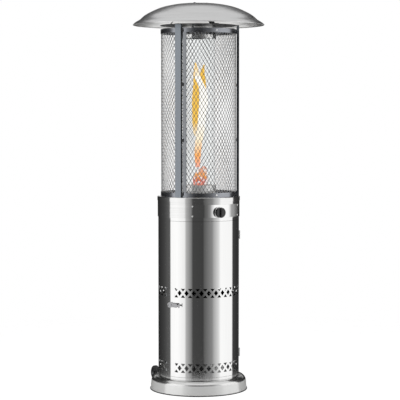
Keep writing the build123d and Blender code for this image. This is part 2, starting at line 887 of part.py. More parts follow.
# Control panel: a curved polished plate with rounded corners
with BuildPart() as control_panel:
    add(curved_wall(panel_face, sheet, panel_low, panel_high, -panel_half_angle, panel_half_angle))
    panel_ends = control_panel.faces().filter_by(GeomType.PLANE).sort_by(Axis.X)
    corner_edges = panel_ends[0].edges().filter_by(Axis.Z, reverse=True)
    corner_edges += panel_ends[-1].edges().filter_by(Axis.Z, reverse=True)
    fillet(corner_edges, panel_corner_r)
    add(round_bar(knob_axis.offset(valve_front), panel_bore_r, drum_r), mode=Mode.SUBTRACT)
    for screw_plane in panel_screw_planes:
        add(round_bar(screw_plane, panel_screw_shank_r + screw_gap, -panel_screw_shank_l), mode=Mode.SUBTRACT)
control_panel.part.label = "control_panel"
export_step(control_panel.part, "parts/control_panel.step")

# Panel screws
with BuildPart() as panel_screws:
    for screw_plane in panel_screw_planes:
        add(
            pan_screw(
                screw_plane,
                panel_screw_head_r,
                panel_screw_head_h,
                panel_screw_shank_r,
                panel_screw_shank_l,
            )
        )
panel_screws.part.label = "panel_screws"
export_step(panel_screws.part, "parts/panel_screws.step")

# Knob bezel: a flat ring, curved behind to sit on the panel
with BuildPart() as knob_bezel:
    bezel_start = panel_face - bezel_r / 2
    with BuildSketch(knob_axis.offset(bezel_start)):
        Circle(bezel_r)
    extrude(amount=bezel_face - bezel_start)
    fillet(knob_bezel.faces().sort_by(Axis.Y)[0].edges(), bezel_edge_round)
    with BuildSketch(knob_axis.offset(bezel_start)):
        Circle(panel_bore_r)
    extrude(amount=bezel_face - bezel_start, mode=Mode.SUBTRACT)
    with BuildSketch(Plane.XY.offset(knob_z - bezel_r)):
        Circle(panel_face + seat_gap)
    extrude(amount=2 * bezel_r, mode=Mode.SUBTRACT)
knob_bezel.part.label = "knob_bezel"
export_step(knob_bezel.part, "parts/knob_bezel.step")

# Gas knob: a round disc with a grip bar and a small pointer groove
with BuildPart() as gas_knob:
    with BuildSketch(knob_axis.offset(knob_back)):
        Circle(knob_r)
    extrude(amount=knob_disc_thick)
    fillet(gas_knob.faces().sort_by(Axis.Y)[0].edges(), knob_edge_round)
    with BuildSketch(knob_axis.offset(knob_back + knob_disc_thick / 2)):
        SlotOverall(knob_grip_length, knob_grip_width, rotation=half_turn / 2)
    extrude(amount=knob_disc_thick / 2 + knob_grip_rise)
    fillet(gas_knob.faces().sort_by(Axis.Y)[0].edges(), knob_grip_round)
    with BuildSketch(knob_axis.offset(knob_back + knob_disc_thick + knob_grip_rise)):
        with Locations((0, knob_grip_length / 2 - knob_mark_length)):
            Rectangle(knob_mark_width, knob_mark_length)
    extrude(amount=-knob_mark_depth, mode=Mode.SUBTRACT)
    with BuildSketch(knob_axis.offset(knob_back)):
        Circle(spindle_r + running_gap)
    extrude(amount=spindle_knob_depth + seat_gap, mode=Mode.SUBTRACT)
gas_knob.part.label = "gas_knob"
export_step(gas_knob.part, "parts/gas_knob.step")

# Knob spindle, with a collar that pushes the plunger
plunger_front = drum_inner_r - plunger_wall_gap
with BuildPart() as knob_spindle:
    with BuildSketch(knob_axis.offset(spindle_inner_end)):
        Circle(spindle_r)
    extrude(amount=knob_back + spindle_knob_depth - spindle_inner_end)
    with BuildSketch(knob_axis.offset(plunger_front + running_gap)):
        Circle(spindle_collar_r)
    extrude(amount=spindle_collar_thick)
knob_spindle.part.label = "knob_spindle"
export_step(knob_spindle.part, "parts/knob_spindle.step")

# Plunger washer behind the panel: it slides with the knob and doesn't turn
with BuildPart() as plunger_washer:
    with BuildSketch(knob_axis.offset(plunger_front - plunger_thick)):
        Circle(plunger_r)
        Circle(spindle_r + running_gap, mode=Mode.SUBTRACT)
    extrude(amount=plunger_thick)
plunger_washer.part.label = "plunger_washer"
export_step(plunger_washer.part, "parts/plunger_washer.step")

# Return spring between the valve's nose and the plunger washer
spring_start = valve_front + valve_nose_length + seat_gap + spring_wire_r
spring_end = plunger_front - plunger_thick - seat_gap - spring_wire_r


def spring_point(half_turns):
    """A point on the coil's middle line after a number of half turns."""
    turn = radians(half_turn * half_turns)
    along = spring_start + (spring_end - spring_start) * half_turns / spring_half_turns
    return Vector(spring_coil_r * cos(turn), -along, knob_z + spring_coil_r * sin(turn))


with BuildPart() as plunger_spring:
    with BuildLine() as spring_line:
        for i in range(spring_half_turns):
            ThreePointArc(spring_point(i), spring_point(i + 1 / 2), spring_point(i + 1))
    with BuildSketch(Plane(origin=spring_line.line @ 0, z_dir=spring_line.line % 0)):
        Circle(spring_wire_r)
    sweep()
plunger_spring.part.label = "plunger_spring"
export_step(plunger_spring.part, "parts/plunger_spring.step")

# Gas valve body with its round nose
valve_face = knob_axis.offset(valve_front)
with BuildPart() as valve_body:
    with BuildSketch(valve_face):
        RectangleRounded(valve_width, valve_h, valve_edge_round)
    extrude(amount=-valve_depth)
    with BuildSketch(valve_face):
        Circle(valve_nose_r)
    extrude(amount=valve_nose_length)
    with BuildSketch(valve_face.offset(valve_nose_length)):
        Circle(spindle_r + running_gap)
    bore_depth = valve_front + valve_nose_length - spindle_inner_end + knob_travel + knob_travel_gap
    extrude(amount=-bore_depth, mode=Mode.SUBTRACT)
valve_body.part.label = "valve_body"
export_step(valve_body.part, "parts/valve_body.step")

# Valve bracket: a plate behind the drum wall with two flanges that reach it
with BuildPart() as valve_bracket:
    with BuildSketch(valve_face.offset(seat_gap)):
        Rectangle(2 * bracket_half_width, bracket_h)
        Circle(valve_nose_r + bracket_hole_gap, mode=Mode.SUBTRACT)
    extrude(amount=plate)
    flange_low = housing_z1 + sheet + 2 * seat_gap
    flange_high = knob_z + bracket_h / 2
    for side in (-1, 1):
        with BuildSketch(valve_face.offset(seat_gap)):
            with Locations((side * (bracket_half_width - plate / 2), (flange_low + flange_high) / 2 - knob_z)):
                Rectangle(plate, flange_high - flange_low)
        extrude(amount=drum_r - valve_front)
    with BuildSketch(Plane.XY.offset(drum_z0)):
        Circle(drum_inner_r - seat_gap)
    extrude(amount=drum_h, mode=Mode.INTERSECT)
valve_bracket.part.label = "valve_bracket"
export_step(valve_bracket.part, "parts/valve_bracket.step")

# Battery igniter beside the valve
with BuildPart() as igniter_module:
    with BuildSketch(valve_face):
        with Locations((igniter_place_x, 0)):
            RectangleRounded(igniter_width, igniter_h, valve_edge_round)
    extrude(amount=-igniter_depth)
igniter_module.part.label = "igniter_module"
export_step(igniter_module.part, "parts/igniter_module.step")

# Tilt switch that shuts the gas when the heater falls
with BuildPart() as tilt_switch:
    with BuildSketch(valve_face):
        with Locations((tilt_place_x, 0)):
            Circle(tilt_r)
    extrude(amount=-tilt_length)
tilt_switch.part.label = "tilt_switch"
export_step(tilt_switch.part, "parts/tilt_switch.step")

# Gas inlet under the valve: a hexagon and a plain stub for a hose
inlet_y = -(valve_front - valve_depth / 2)
inlet_top = Plane(origin=(0, inlet_y, knob_z - valve_h / 2 - seat_gap))
with BuildPart() as gas_inlet_fitting:
    with BuildSketch(inlet_top):
        RegularPolygon(inlet_hex_across / 2, 6, major_radius=False)
    extrude(amount=-inlet_hex_h)
    with BuildSketch(inlet_top.offset(-inlet_hex_h)):
        Circle(inlet_stub_r)
    extrude(amount=-inlet_stub_h)
    with BuildSketch(inlet_top):
        Circle(inlet_bore_r)
    extrude(amount=-(inlet_hex_h + inlet_stub_h), mode=Mode.SUBTRACT)
gas_inlet_fitting.part.label = "gas_inlet_fitting"
export_step(gas_inlet_fitting.part, "parts/gas_inlet_fitting.step")

# Gas pipe from the valve to the injector, bent sideways to clear the inlet's spanner
pipe_start_y = -(valve_front - valve_depth) + seat_gap
pipe_end_y = -(injector_r + seat_gap)
pipe_run = pipe_end_y - pipe_start_y
pipe_run_shares = [0.22, 0.42, 0.62, 0.84]
pipe_points = [(0, pipe_start_y, knob_z)]
for share, aside in zip(pipe_run_shares, (0, pipe_side_step, pipe_side_step, 0)):
    pipe_points.append((aside, pipe_start_y + share * pipe_run, knob_z))
pipe_points.append((0, pipe_end_y, knob_z))
with BuildPart() as gas_pipe:
    with BuildLine():
        FilletPolyline(*pipe_points, radius=pipe_bend_r)
    with BuildSketch(Plane(origin=pipe_points[0], x_dir=(1, 0, 0), z_dir=(0, 1, 0))):
        Circle(pipe_r)
        Circle(pipe_r - pipe_wall, mode=Mode.SUBTRACT)
    sweep()
gas_pipe.part.label = "gas_pipe"
export_step(gas_pipe.part, "parts/gas_pipe.step")

# Union nuts at both ends of the pipe
with BuildPart() as pipe_nuts:
    for start_y, way in ((pipe_start_y, 1), (pipe_end_y, -1)):
        with BuildSketch(Plane(origin=(0, start_y, knob_z), x_dir=(1, 0, 0), z_dir=(0, way, 0))):
            RegularPolygon(pipe_nut_across / 2, 6, major_radius=False)
            Circle(pipe_r + running_gap, mode=Mode.SUBTRACT)
        extrude(amount=pipe_nut_length)
pipe_nuts.part.label = "pipe_nuts"
export_step(pipe_nuts.part, "parts/pipe_nuts.step")

# Injector block under the burner tube
injector_top = knob_z + injector_h / 2
with BuildPart() as gas_injector:
    with BuildSketch(Plane.XY.offset(injector_top - injector_h)):
        Circle(injector_r)
    extrude(amount=injector_h)
    with BuildSketch(Plane.XY.offset(injector_top)):
        Circle(pipe_r - pipe_wall)
    extrude(amount=-injector_h / 2, mode=Mode.SUBTRACT)
gas_injector.part.label = "gas_injector"
export_step(gas_injector.part, "parts/gas_injector.step")

# Burner tube from the injector up into the burner head, with the plate that closes the head from below
burner_floor = deck_top + seat_gap
burner_top = burner_floor + burner_h
burner_plate_r = burner_r - sheet - seat_gap
with BuildPart() as burner_tube:
    add(round_wall(venturi_r, venturi_wall, injector_top + seat_gap, burner_floor + sheet))
    add(round_wall(burner_plate_r, burner_plate_r - venturi_r + venturi_wall, burner_floor, burner_floor + sheet))
burner_tube.part.label = "burner_tube"
export_step(burner_tube.part, "parts/burner_tube.step")

# Burner head: a steel cup upside down on the deck, with ports round its side and on top
with BuildPart() as burner_head:
    with BuildSketch(Plane.XY.offset(burner_floor)):
        Circle(burner_r)
    extrude(amount=burner_h)
    with BuildSketch(Plane.XY.offset(burner_floor)):
        Circle(burner_r - sheet)
    extrude(amount=burner_h - sheet, mode=Mode.SUBTRACT)
    with PolarLocations(0, burner_port_count):
        add(
            round_bar(
                bearing_plane(0, burner_r - sheet - cut_overrun, burner_top - burner_port_drop),
                burner_port_r,
                sheet + 2 * cut_overrun,
            ),
            mode=Mode.SUBTRACT,
        )
    with BuildSketch(Plane.XY.offset(burner_top)):
        with PolarLocations(burner_top_circle_r, burner_top_ports):
            Circle(burner_top_port_r)
    extrude(amount=-(sheet + cut_overrun), mode=Mode.SUBTRACT)
burner_head.part.label = "burner_head"
export_step(burner_head.part, "parts/burner_head.step")


def probe(bearing, tip_lean):
    """A ceramic body through the deck with a thin tip that leans towards the burner."""
    foot = bearing_plane(bearing, probe_circle_r, deck_top - probe_below_deck).origin
    top = foot + Vector(0, 0, probe_below_deck + probe_body_h)
    turn = radians(bearing)
    lean = Vector(-sin(turn) * tip_lean, cos(turn) * tip_lean, 1)
    with BuildPart() as piece:
        add(round_bar(Plane(origin=foot), probe_r, probe_below_deck + probe_body_h))
        seat = Plane(origin=foot + Vector(0, 0, probe_below_deck + seat_gap))
        add(round_bar(seat, probe_shoulder_r, probe_shoulder_h))
        add(round_bar(Plane(origin=top - Vector(0, 0, probe_tip_r), z_dir=lean), probe_tip_r, probe_tip_h))
    return piece.part


with BuildPart() as igniter_electrode:
    add(probe(electrode_bearing, probe_tip_lean))
igniter_electrode.part.label = "igniter_electrode"
export_step(igniter_electrode.part, "parts/igniter_electrode.step")

with BuildPart() as flame_sensor:
    add(probe(sensor_bearing, probe_tip_lean))
flame_sensor.part.label = "flame_sensor"
export_step(flame_sensor.part, "parts/flame_sensor.step")


def lead(bearing, start_x, depth):
    """A thin lead from the back of a unit at the valve, in and up to the foot of a probe."""
    foot = bearing_plane(bearing, probe_circle_r, deck_top - probe_below_deck - seat_gap).origin
    start = Vector(start_x, -(valve_front - depth - seat_gap), knob_z)
    corner = Vector(foot.X, foot.Y - lead_bend_r, knob_z)
    points = [start, Vector(start_x, corner.Y - lead_bend_r * 2, knob_z), Vector(foot.X, foot.Y, knob_z), foot]
    with BuildPart() as piece:
        with BuildLine():
            FilletPolyline(*points, radius=lead_bend_r)
        with BuildSketch(Plane(origin=start, x_dir=(1, 0, 0), z_dir=(0, 1, 0))):
            Circle(lead_r)
        sweep()
    return piece.part


with BuildPart() as probe_leads:
    add(lead(electrode_bearing, igniter_place_x, igniter_depth))
    add(lead(sensor_bearing, tilt_place_x, tilt_length))
probe_leads.part.label = "probe_leads"
export_step(probe_leads.part, "parts/probe_leads.step")

# Top deck: a flat lid with a turned-down skirt, a middle hole and a ring of air holes
post_screw_r = post_inner_face + post_depth / 2
with BuildPart() as top_deck:
    with BuildSketch(Plane.XY.offset(drum_seam_z)):
        Circle(deck_r)
    extrude(amount=deck_h)
    fillet(top_deck.faces().sort_by(Axis.Z)[-1].edges(), deck_edge_round)
    with BuildSketch(Plane.XY.offset(drum_seam_z)):
        Circle(drum_r + seat_gap)
    extrude(amount=deck_h - deck_sheet, mode=Mode.SUBTRACT)
    with BuildSketch(Plane.XY.offset(deck_underside)):
        Circle(deck_hole_r)
        with PolarLocations(deck_slot_circle_r, deck_slot_count, start_angle=deck_slot_start):
            Circle(deck_slot_r)
        for angle in (electrode_bearing, sensor_bearing):
            with Locations(bearing_plane(angle, probe_circle_r, 0).origin):
                Circle(probe_r + screw_gap)
        for bearing in post_bearings:
            with Locations(bearing_plane(bearing, post_screw_r, 0).origin):
                Circle(frame_screw_shank_r + screw_gap)
    extrude(amount=deck_sheet, mode=Mode.SUBTRACT)
top_deck.part.label = "top_deck"
export_step(top_deck.part, "parts/top_deck.step")

# Lower glass cup: a polished collar on the deck with an inner ledge for the glass
cup_z0 = deck_top + seat_gap
ledge_z = cup_z0 + cup_ledge_height
with BuildPart() as lower_glass_cup:
    add(round_wall(collar_r, sheet, cup_z0, cup_z0 + lower_cup_h))
    add(round_wall(collar_flange_r, collar_flange_r - collar_r + sheet, cup_z0, cup_z0 + sheet))
    add(round_wall(collar_r, collar_r - cup_ledge_inner_r, ledge_z, ledge_z + sheet))
lower_glass_cup.part.label = "lower_glass_cup"
export_step(lower_glass_cup.part, "parts/lower_glass_cup.step")

# Glass tube
glass_z0 = ledge_z + sheet + gasket_lip + 2 * seat_gap
glass_z1 = glass_z0 + glass_h
with BuildPart() as glass_tube:
    add(round_wall(glass_r, glass_wall, glass_z0, glass_z1))
glass_tube.part.label = "glass_tube"
export_step(glass_tube.part, "parts/glass_tube.step")

# Heat-proof gaskets between the glass and its two collars
with BuildPart() as glass_gaskets:
    gasket_r = collar_r - sheet - seat_gap
    gasket_wall = gasket_r - glass_r - seat_gap
    lower_gasket_z = ledge_z + sheet + seat_gap
    add(round_wall(gasket_r, gasket_wall, lower_gasket_z, lower_gasket_z + gasket_h))
    add(round_wall(gasket_r, gasket_r - glass_r + glass_wall, lower_gasket_z, lower_gasket_z + gasket_lip))
    add(round_wall(gasket_r, gasket_wall, glass_z1 - gasket_h, glass_z1))
glass_gaskets.part.label = "glass_gaskets"
export_step(glass_gaskets.part, "parts/glass_gaskets.step")

# Upper glass collar, hung from the ring plate by its flange
flange_z = ring_plate_top + seat_gap
with BuildPart() as upper_glass_collar:
    add(round_wall(collar_r, sheet, ring_plate_z0 - upper_collar_drop, flange_z + sheet))
    add(round_wall(collar_flange_r, collar_flange_r - collar_r + sheet, flange_z, flange_z + sheet))
upper_glass_collar.part.label = "upper_glass_collar"
export_step(upper_glass_collar.part, "parts/upper_glass_collar.step")

# Guard mesh: one sheet of expanded metal, rolled into a tube and cut with staggered diamonds
mesh_half_w = guard_r * radians(full_turn / mesh_columns) / 2
mesh_zone_h = guard_h - 2 * band_h
mesh_half_h = mesh_zone_h / mesh_rows / 2
mesh_run = sqrt(mesh_half_w**2 + mesh_half_h**2)
mesh_open_share = 1 - mesh_strand / 2 * mesh_run / (mesh_half_w * mesh_half_h)
with BuildPart() as mesh_column:
    for shift in (0, 1):
        column_bearing = shift * half_turn / mesh_columns
        for row in range(mesh_rows - shift):
            row_z = guard_z0 + band_h + mesh_half_h * (2 * row + 1 + shift)
            with BuildSketch(bearing_plane(column_bearing, guard_r - guard_sheet - cut_overrun, row_z)):
                with BuildLine():
                    Polyline(
                        (-mesh_half_w * mesh_open_share, 0),
                        (0, -mesh_half_h * mesh_open_share),
                        (mesh_half_w * mesh_open_share, 0),
                        (0, mesh_half_h * mesh_open_share),
                        close=True,
                    )
                make_face()
            extrude(amount=guard_sheet + 2 * cut_overrun)

band_r = guard_r + seat_gap + band_thick
band_screw_planes = [
    bearing_plane(band_screw_bearing, band_r + running_gap, height)
    for height in (guard_z0 + band_h / 2, guard_z1 - band_h / 2)
]
with BuildPart() as guard_mesh:
    add(round_wall(guard_r, guard_sheet, guard_z0, guard_z1))
    with PolarLocations(0, mesh_columns):
        add(mesh_column.part, mode=Mode.SUBTRACT)
    for screw_plane in band_screw_planes:
        add(round_bar(screw_plane, frame_screw_shank_r + screw_gap, -frame_screw_shank_l), mode=Mode.SUBTRACT)
guard_mesh.part.label = "guard_mesh"
export_step(guard_mesh.part, "parts/guard_mesh.step")

# Bands round the guard's two ends
with BuildPart() as guard_bands:
    for band_z in (guard_z0, guard_z1 - band_h):
        add(round_wall(band_r, band_thick, band_z, band_z + band_h))
    for screw_plane in band_screw_planes:
        add(round_bar(screw_plane, frame_screw_shank_r + screw_gap, -frame_screw_shank_l), mode=Mode.SUBTRACT)
guard_bands.part.label = "guard_bands"
export_step(guard_bands.part, "parts/guard_bands.step")

# Flat strip over the mesh's seam, between the bands
strip_half = degrees(seam_strip_width / 2 / guard_r)
with BuildPart() as guard_seam_strip:
    add(
        curved_wall(
            guard_r + seat_gap + seam_strip_thick,
            seam_strip_thick,
            guard_z0 + band_h + seat_gap,
            guard_z1 - band_h - seat_gap,
            seam_strip_bearing - strip_half,
            seam_strip_bearing + strip_half,
        )
    )
guard_seam_strip.part.label = "guard_seam_strip"
export_step(guard_seam_strip.part, "parts/guard_seam_strip.step")

# Posts: channels of bent sheet, open towards the guard, with a tab folded in at each end
for post_name, bearing in zip(post_names, post_bearings):
    with BuildPart() as post:
        with BuildSketch(bearing_plane(bearing, post_inner_face, guard_z0 + post_h / 2)):
            Rectangle(post_width, post_h)
        extrude(amount=post_depth)
        with BuildSketch(bearing_plane(bearing, post_inner_face, guard_z0 + post_h / 2)):
            Rectangle(post_width - 2 * post_wall, post_h - 2 * post_wall)
        extrude(amount=post_depth - post_wall, mode=Mode.SUBTRACT)
        screw_spot = bearing_plane(bearing, post_screw_r, 0).origin
        with BuildSketch(Plane(origin=screw_spot)):
            Circle(frame_screw_shank_r + screw_gap)
        extrude(amount=ring_plate_z0, mode=Mode.SUBTRACT)
    post.part.label = post_name
    export_step(post.part, "parts/" + post_name + ".step")

# Clips that hold the guard against the side of each post
clip_offset_angle = degrees(((post_width + clip_width) / 2 + 2 * seat_gap) / (band_r + seat_gap))
with BuildPart() as guard_clips:
    for bearing in post_bearings:
        for share in clip_height_shares:
            clip_z = guard_z0 + share * post_h
            with BuildSketch(bearing_plane(bearing + clip_offset_angle, band_r + seat_gap, clip_z)):
                Rectangle(clip_width, clip_h)
            extrude(amount=clip_depth)
guard_clips.part.label = "guard_clips"
export_step(guard_clips.part, "parts/guard_clips.step")

# Ring plate on the posts, with an ear over each post and a hole for the upper collar
with BuildPart() as top_ring_plate:
    with BuildSketch(Plane.XY.offset(ring_plate_z0)):
        Circle(ring_plate_r)
    extrude(amount=plate)
    for bearing in post_bearings:
        with BuildSketch(bearing_plane(bearing, collar_flange_r, ring_plate_z0 + plate / 2)):
            Rectangle(ring_plate_ear_width, plate)
        extrude(amount=ring_plate_ear_r - collar_flange_r)
    with BuildSketch(Plane.XY.offset(ring_plate_z0)):
        Circle(collar_r + seat_gap)
        for bearing in post_bearings:
            with Locations(bearing_plane(bearing, post_screw_r, 0).origin):
                Circle(frame_screw_shank_r + screw_gap)
            with Locations(bearing_plane(bearing + half_turn / 3, spider_screw_r, 0).origin):
                Circle(frame_screw_shank_r + screw_gap)
    extrude(amount=plate, mode=Mode.SUBTRACT)
top_ring_plate.part.label = "top_ring_plate"
export_step(top_ring_plate.part, "parts/top_ring_plate.step")

# Screws of the frame: at both ends of each post, through each foot of the hat spider, and one in each band
frame_screw_planes = list(band_screw_planes)
for bearing in post_bearings:
    spider_foot_top = ring_plate_top + seat_gap + spider_leg_thick
    for radius, turned, height in (
        (post_screw_r, 0, guard_z0 + post_wall),
        (post_screw_r, 0, ring_plate_top),
        (spider_screw_r, half_turn / 3, spider_foot_top),
    ):
        spot = bearing_plane(bearing + turned, radius, height + running_gap).origin
        frame_screw_planes.append(Plane(origin=spot))
with BuildPart() as frame_screws:
    for seat in frame_screw_planes:
        add(pan_screw(seat, frame_screw_head_r, frame_screw_head_h, frame_screw_shank_r, frame_screw_shank_l))
frame_screws.part.label = "frame_screws"
export_step(frame_screws.part, "parts/frame_screws.step")


# Hat spider: a hub under the crown and three legs that stand on the ring plate
crown_drop = (1 - hat_height_shares[-2]) * (spider_hub_r / (hat_r * hat_radius_shares[-2])) ** 2
hub_top = hat_rim_z + hat_dome_h * (1 - crown_drop) - hat_sheet - seat_gap
with BuildPart() as hat_spider:
    foot_z = ring_plate_top + seat_gap + spider_leg_thick / 2
    arm_z = hub_top - spider_leg_thick / 2
    for bearing in post_bearings:
        with BuildSketch(section_plane(bearing + half_turn / 3)):
            with BuildLine() as leg_line:
                FilletPolyline(
                    (spider_foot_outer_r, foot_z),
                    (spider_foot_inner_r, foot_z),
                    (spider_hub_r, arm_z),
                    (0, arm_z),
                    radius=spider_bend_r,
                )
            trace(leg_line.line, line_width=spider_leg_thick)
        extrude(amount=spider_leg_width / 2, both=True)
    with BuildSketch(Plane.XY.offset(hub_top - spider_leg_thick)):
        Circle(spider_hub_r)
    extrude(amount=spider_leg_thick)
    for bearing in post_bearings:
        for turned, radius, hole_r, top in (
            (0, hat_bolt_circle_r, bolt_shank_r, hub_top),
            (half_turn / 3, spider_screw_r, frame_screw_shank_r, foot_z + spider_leg_thick),
        ):
            spot = bearing_plane(bearing + turned, radius, top + cut_overrun).origin
            add(round_bar(Plane(origin=spot), hole_r + screw_gap, -bolt_shank_l), mode=Mode.SUBTRACT)
hat_spider.part.label = "hat_spider"
export_step(hat_spider.part, "parts/hat_spider.step")

# Hat: a spun dome with a short upright rim
hat_shares = list(zip(hat_radius_shares, hat_height_shares))
outer_points = [(hat_r * r, hat_rim_z + hat_dome_h * h) for r, h in hat_shares]
inner_points = [((hat_r - hat_sheet) * r, hat_rim_z + hat_dome_h * h - hat_sheet) for r, h in hat_shares]
with BuildPart() as hat_shell:
    with BuildSketch(Plane.XZ):
        with BuildLine():
            outer_curve = Spline(*outer_points, tangents=[(-1, 1), (-1, 0)])
            inner_curve = Spline(*inner_points, tangents=[(-1, 1), (-1, 0)])
            Line(outer_curve @ 1, inner_curve @ 1)
            outer_rim = Polyline((hat_r, hat_rim_z), (hat_r, hat_rim_z + hat_rim_h), outer_curve @ 0)
            inner_rim = Polyline(
                (hat_r - hat_sheet, hat_rim_z),
                (hat_r - hat_sheet, hat_rim_z + hat_rim_h - hat_sheet / 2),
                inner_curve @ 0,
            )
            Line(outer_rim @ 0, inner_rim @ 0)
        make_face()
    revolve(axis=Axis.Z)
    for bearing in post_bearings:
        bolt_spot = bearing_plane(bearing, hat_bolt_circle_r, hat_rim_z + hat_dome_h + cut_overrun).origin
        add(round_bar(Plane(origin=bolt_spot), bolt_shank_r + screw_gap, -hat_dome_h / 2), mode=Mode.SUBTRACT)
hat_shell.part.label = "hat_shell"
export_step(hat_shell.part, "parts/hat_shell.step")

# Three bolts down through the crown
crown_z = hat_rim_z + hat_dome_h + running_gap
hat_bolt_spots = [bearing_plane(bearing, hat_bolt_circle_r, crown_z).origin for bearing in post_bearings]
with BuildPart() as hat_bolts:
    for spot in hat_bolt_spots:
        add(socket_bolt(Plane(origin=spot)))
hat_bolts.part.label = "hat_bolts"
export_step(hat_bolts.part, "parts/hat_bolts.step")

# Nuts under the spider's hub
with BuildPart() as hat_nuts:
    for spot in hat_bolt_spots:
        with BuildSketch(Plane(origin=(spot.X, spot.Y, hub_top - spider_leg_thick - seat_gap))):
            RegularPolygon(nut_across / 2, 6, major_radius=False)
            Circle(bolt_shank_r + running_gap, mode=Mode.SUBTRACT)
        extrude(amount=-nut_h)
hat_nuts.part.label = "hat_nuts"
export_step(hat_nuts.part, "parts/hat_nuts.step")
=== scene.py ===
import bmesh
import bpy
import numpy as np
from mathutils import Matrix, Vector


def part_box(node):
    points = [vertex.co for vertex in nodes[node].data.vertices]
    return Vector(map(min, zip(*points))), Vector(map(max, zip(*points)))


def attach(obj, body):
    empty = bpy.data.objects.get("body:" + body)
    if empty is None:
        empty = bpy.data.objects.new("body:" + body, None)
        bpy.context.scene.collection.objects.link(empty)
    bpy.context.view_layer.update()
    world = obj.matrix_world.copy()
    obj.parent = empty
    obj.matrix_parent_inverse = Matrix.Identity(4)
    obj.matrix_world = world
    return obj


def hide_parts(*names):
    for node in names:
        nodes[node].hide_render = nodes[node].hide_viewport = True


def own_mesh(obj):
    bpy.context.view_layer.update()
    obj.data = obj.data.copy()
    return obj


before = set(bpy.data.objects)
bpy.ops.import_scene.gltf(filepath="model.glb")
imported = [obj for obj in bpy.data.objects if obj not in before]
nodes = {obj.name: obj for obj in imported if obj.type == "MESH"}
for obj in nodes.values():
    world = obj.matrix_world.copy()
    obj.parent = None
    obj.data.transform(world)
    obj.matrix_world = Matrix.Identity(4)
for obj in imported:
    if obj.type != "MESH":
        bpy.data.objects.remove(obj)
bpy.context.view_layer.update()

# Camera. It stands nearly seven metres away at chest height and looks down a little, a sixth of a turn to
# the left of the heater's front. A bearing is an angle round the axis in degrees, 0 at the front (-Y).
camera_bearing = -30.0
camera_distance = 6.8696
camera_height = 1.2836
camera_pitch = 3.315
camera_aside = 0.0065
camera_lens = 132.6


def round_axis(bearing, radius, height=0.0):
    """Points round the axis: x is the radius times the bearing's sine, y minus the radius times its cosine,
    and z the height."""
    turn = np.radians(bearing)
    places = np.broadcast_arrays(radius * np.sin(turn), -radius * np.cos(turn), height)
    return np.stack(places, axis=-1)


def new_object(name, data):
    """An object in the scene that shows the data."""
    made = bpy.data.objects.new(name, data)
    scene.collection.objects.link(made)
    return made


scene = bpy.context.scene
scene.view_settings.view_transform = "Standard"
camera_data = bpy.data.cameras.new("camera")
camera_data.lens = camera_lens
scene.camera = new_object("camera", camera_data)
camera_spot = round_axis(camera_bearing, camera_distance, camera_height)
scene.camera.location = camera_spot + round_axis(camera_bearing + 90, camera_aside)
scene.camera.rotation_euler = (np.radians(90 - camera_pitch), 0, np.radians(camera_bearing))

# Floor. A pale round floor that fades into the white backdrop, and keeps the heater's soft shadow. It isn't
# seen in reflections, so polished steel shows the panels round the set down to its foot.
floor_radius = 2.6
floor_clear_radius = 1.4
floor_rings, floor_turns = 12, 96
floor_hub = 0.001
floor_glow = 0.86
floor_paint = (0.26, 0.26, 0.26, 1.0)


def add_node(tree, kind, inputs=None, **settings):
    """A shader node with its settings, its input values and its links in one call."""
    made = tree.nodes.new("ShaderNode" + kind)
    for key, value in settings.items():
        setattr(made, key, value)
    for key, value in (inputs or {}).items():
        if isinstance(value, bpy.types.NodeSocket):
            tree.links.new(value, made.inputs[key])
        else:
            made.inputs[key].default_value = value
    return made


def math_node(tree, operation, first, second=0.0, third=0.0):
    """One arithmetic step, and its result's socket."""
    inputs = {0: first, 1: second, 2: third} if operation == "MULTIPLY_ADD" else {0: first, 1: second}
    return add_node(tree, "Math", inputs, operation=operation).outputs[0]


def vector_node(tree, operation, first, second=(0.0, 0.0, 0.0)):
    """One step with vectors, and the socket of its result, which is a number for a length or dot product."""
    made = add_node(tree, "VectorMath", {0: first, 1: second}, operation=operation)
    return made.outputs["Value" if operation in ("LENGTH", "DOT_PRODUCT") else "Vector"]


def separate(tree, vector):
    """The sockets of a vector's X, Y and Z."""
    return add_node(tree, "SeparateXYZ", {"Vector": vector}).outputs


def ranged(tree, value, low, high, **settings):
    """Nought to one as a value goes from low to high."""
    inputs = {"Value": value, "From Min": low, "From Max": high}
    return add_node(tree, "MapRange", inputs, **settings).outputs["Result"]


def object_spot(tree):
    """The place on a piece, in metres from the origin."""
    return add_node(tree, "TexCoord").outputs["Object"]


def bare_material(name):
    """A material with nothing in its tree, and the tree."""
    material = bpy.data.materials.new(name)
    material.use_nodes = True
    material.node_tree.nodes.clear()
    return material, material.node_tree


def backdrop_rays(tree):
    """One for camera, glossy and transmission rays, and nought for the rest."""
    path = add_node(tree, "LightPath").outputs
    seen = math_node(tree, "MAXIMUM", path["Is Camera Ray"], path["Is Glossy Ray"])
    return math_node(tree, "MAXIMUM", seen, path["Is Transmission Ray"])


def mesh_object(name, vertices, faces):
    """A new object at the origin from an array of points, in any grid, and a list or array of faces."""
    mesh = bpy.data.meshes.new(name)
    face_list = faces.tolist() if isinstance(faces, np.ndarray) else faces
    mesh.from_pydata(np.reshape(vertices, (-1, 3)).tolist(), [], face_list)
    mesh.polygons.foreach_set("use_smooth", np.ones(len(mesh.polygons), bool))
    return new_object(name, mesh)


def grid_faces(rows, columns, closed):
    """Quads of a grid of rows by columns points, whose rows may close on themselves."""
    row = np.arange(rows - 1)[:, None] * columns
    column = np.arange(columns if closed else columns - 1)[None, :]
    after = (column + 1) % columns
    corners = (row + column, row + after, row + columns + after, row + columns + column)
    return np.stack(corners, axis=-1).reshape(-1, 4)


def full_turn(count):
    """Evenly spaced bearings once round the axis, as a row."""
    return np.linspace(0, 360, count, endpoint=False)[None, :]


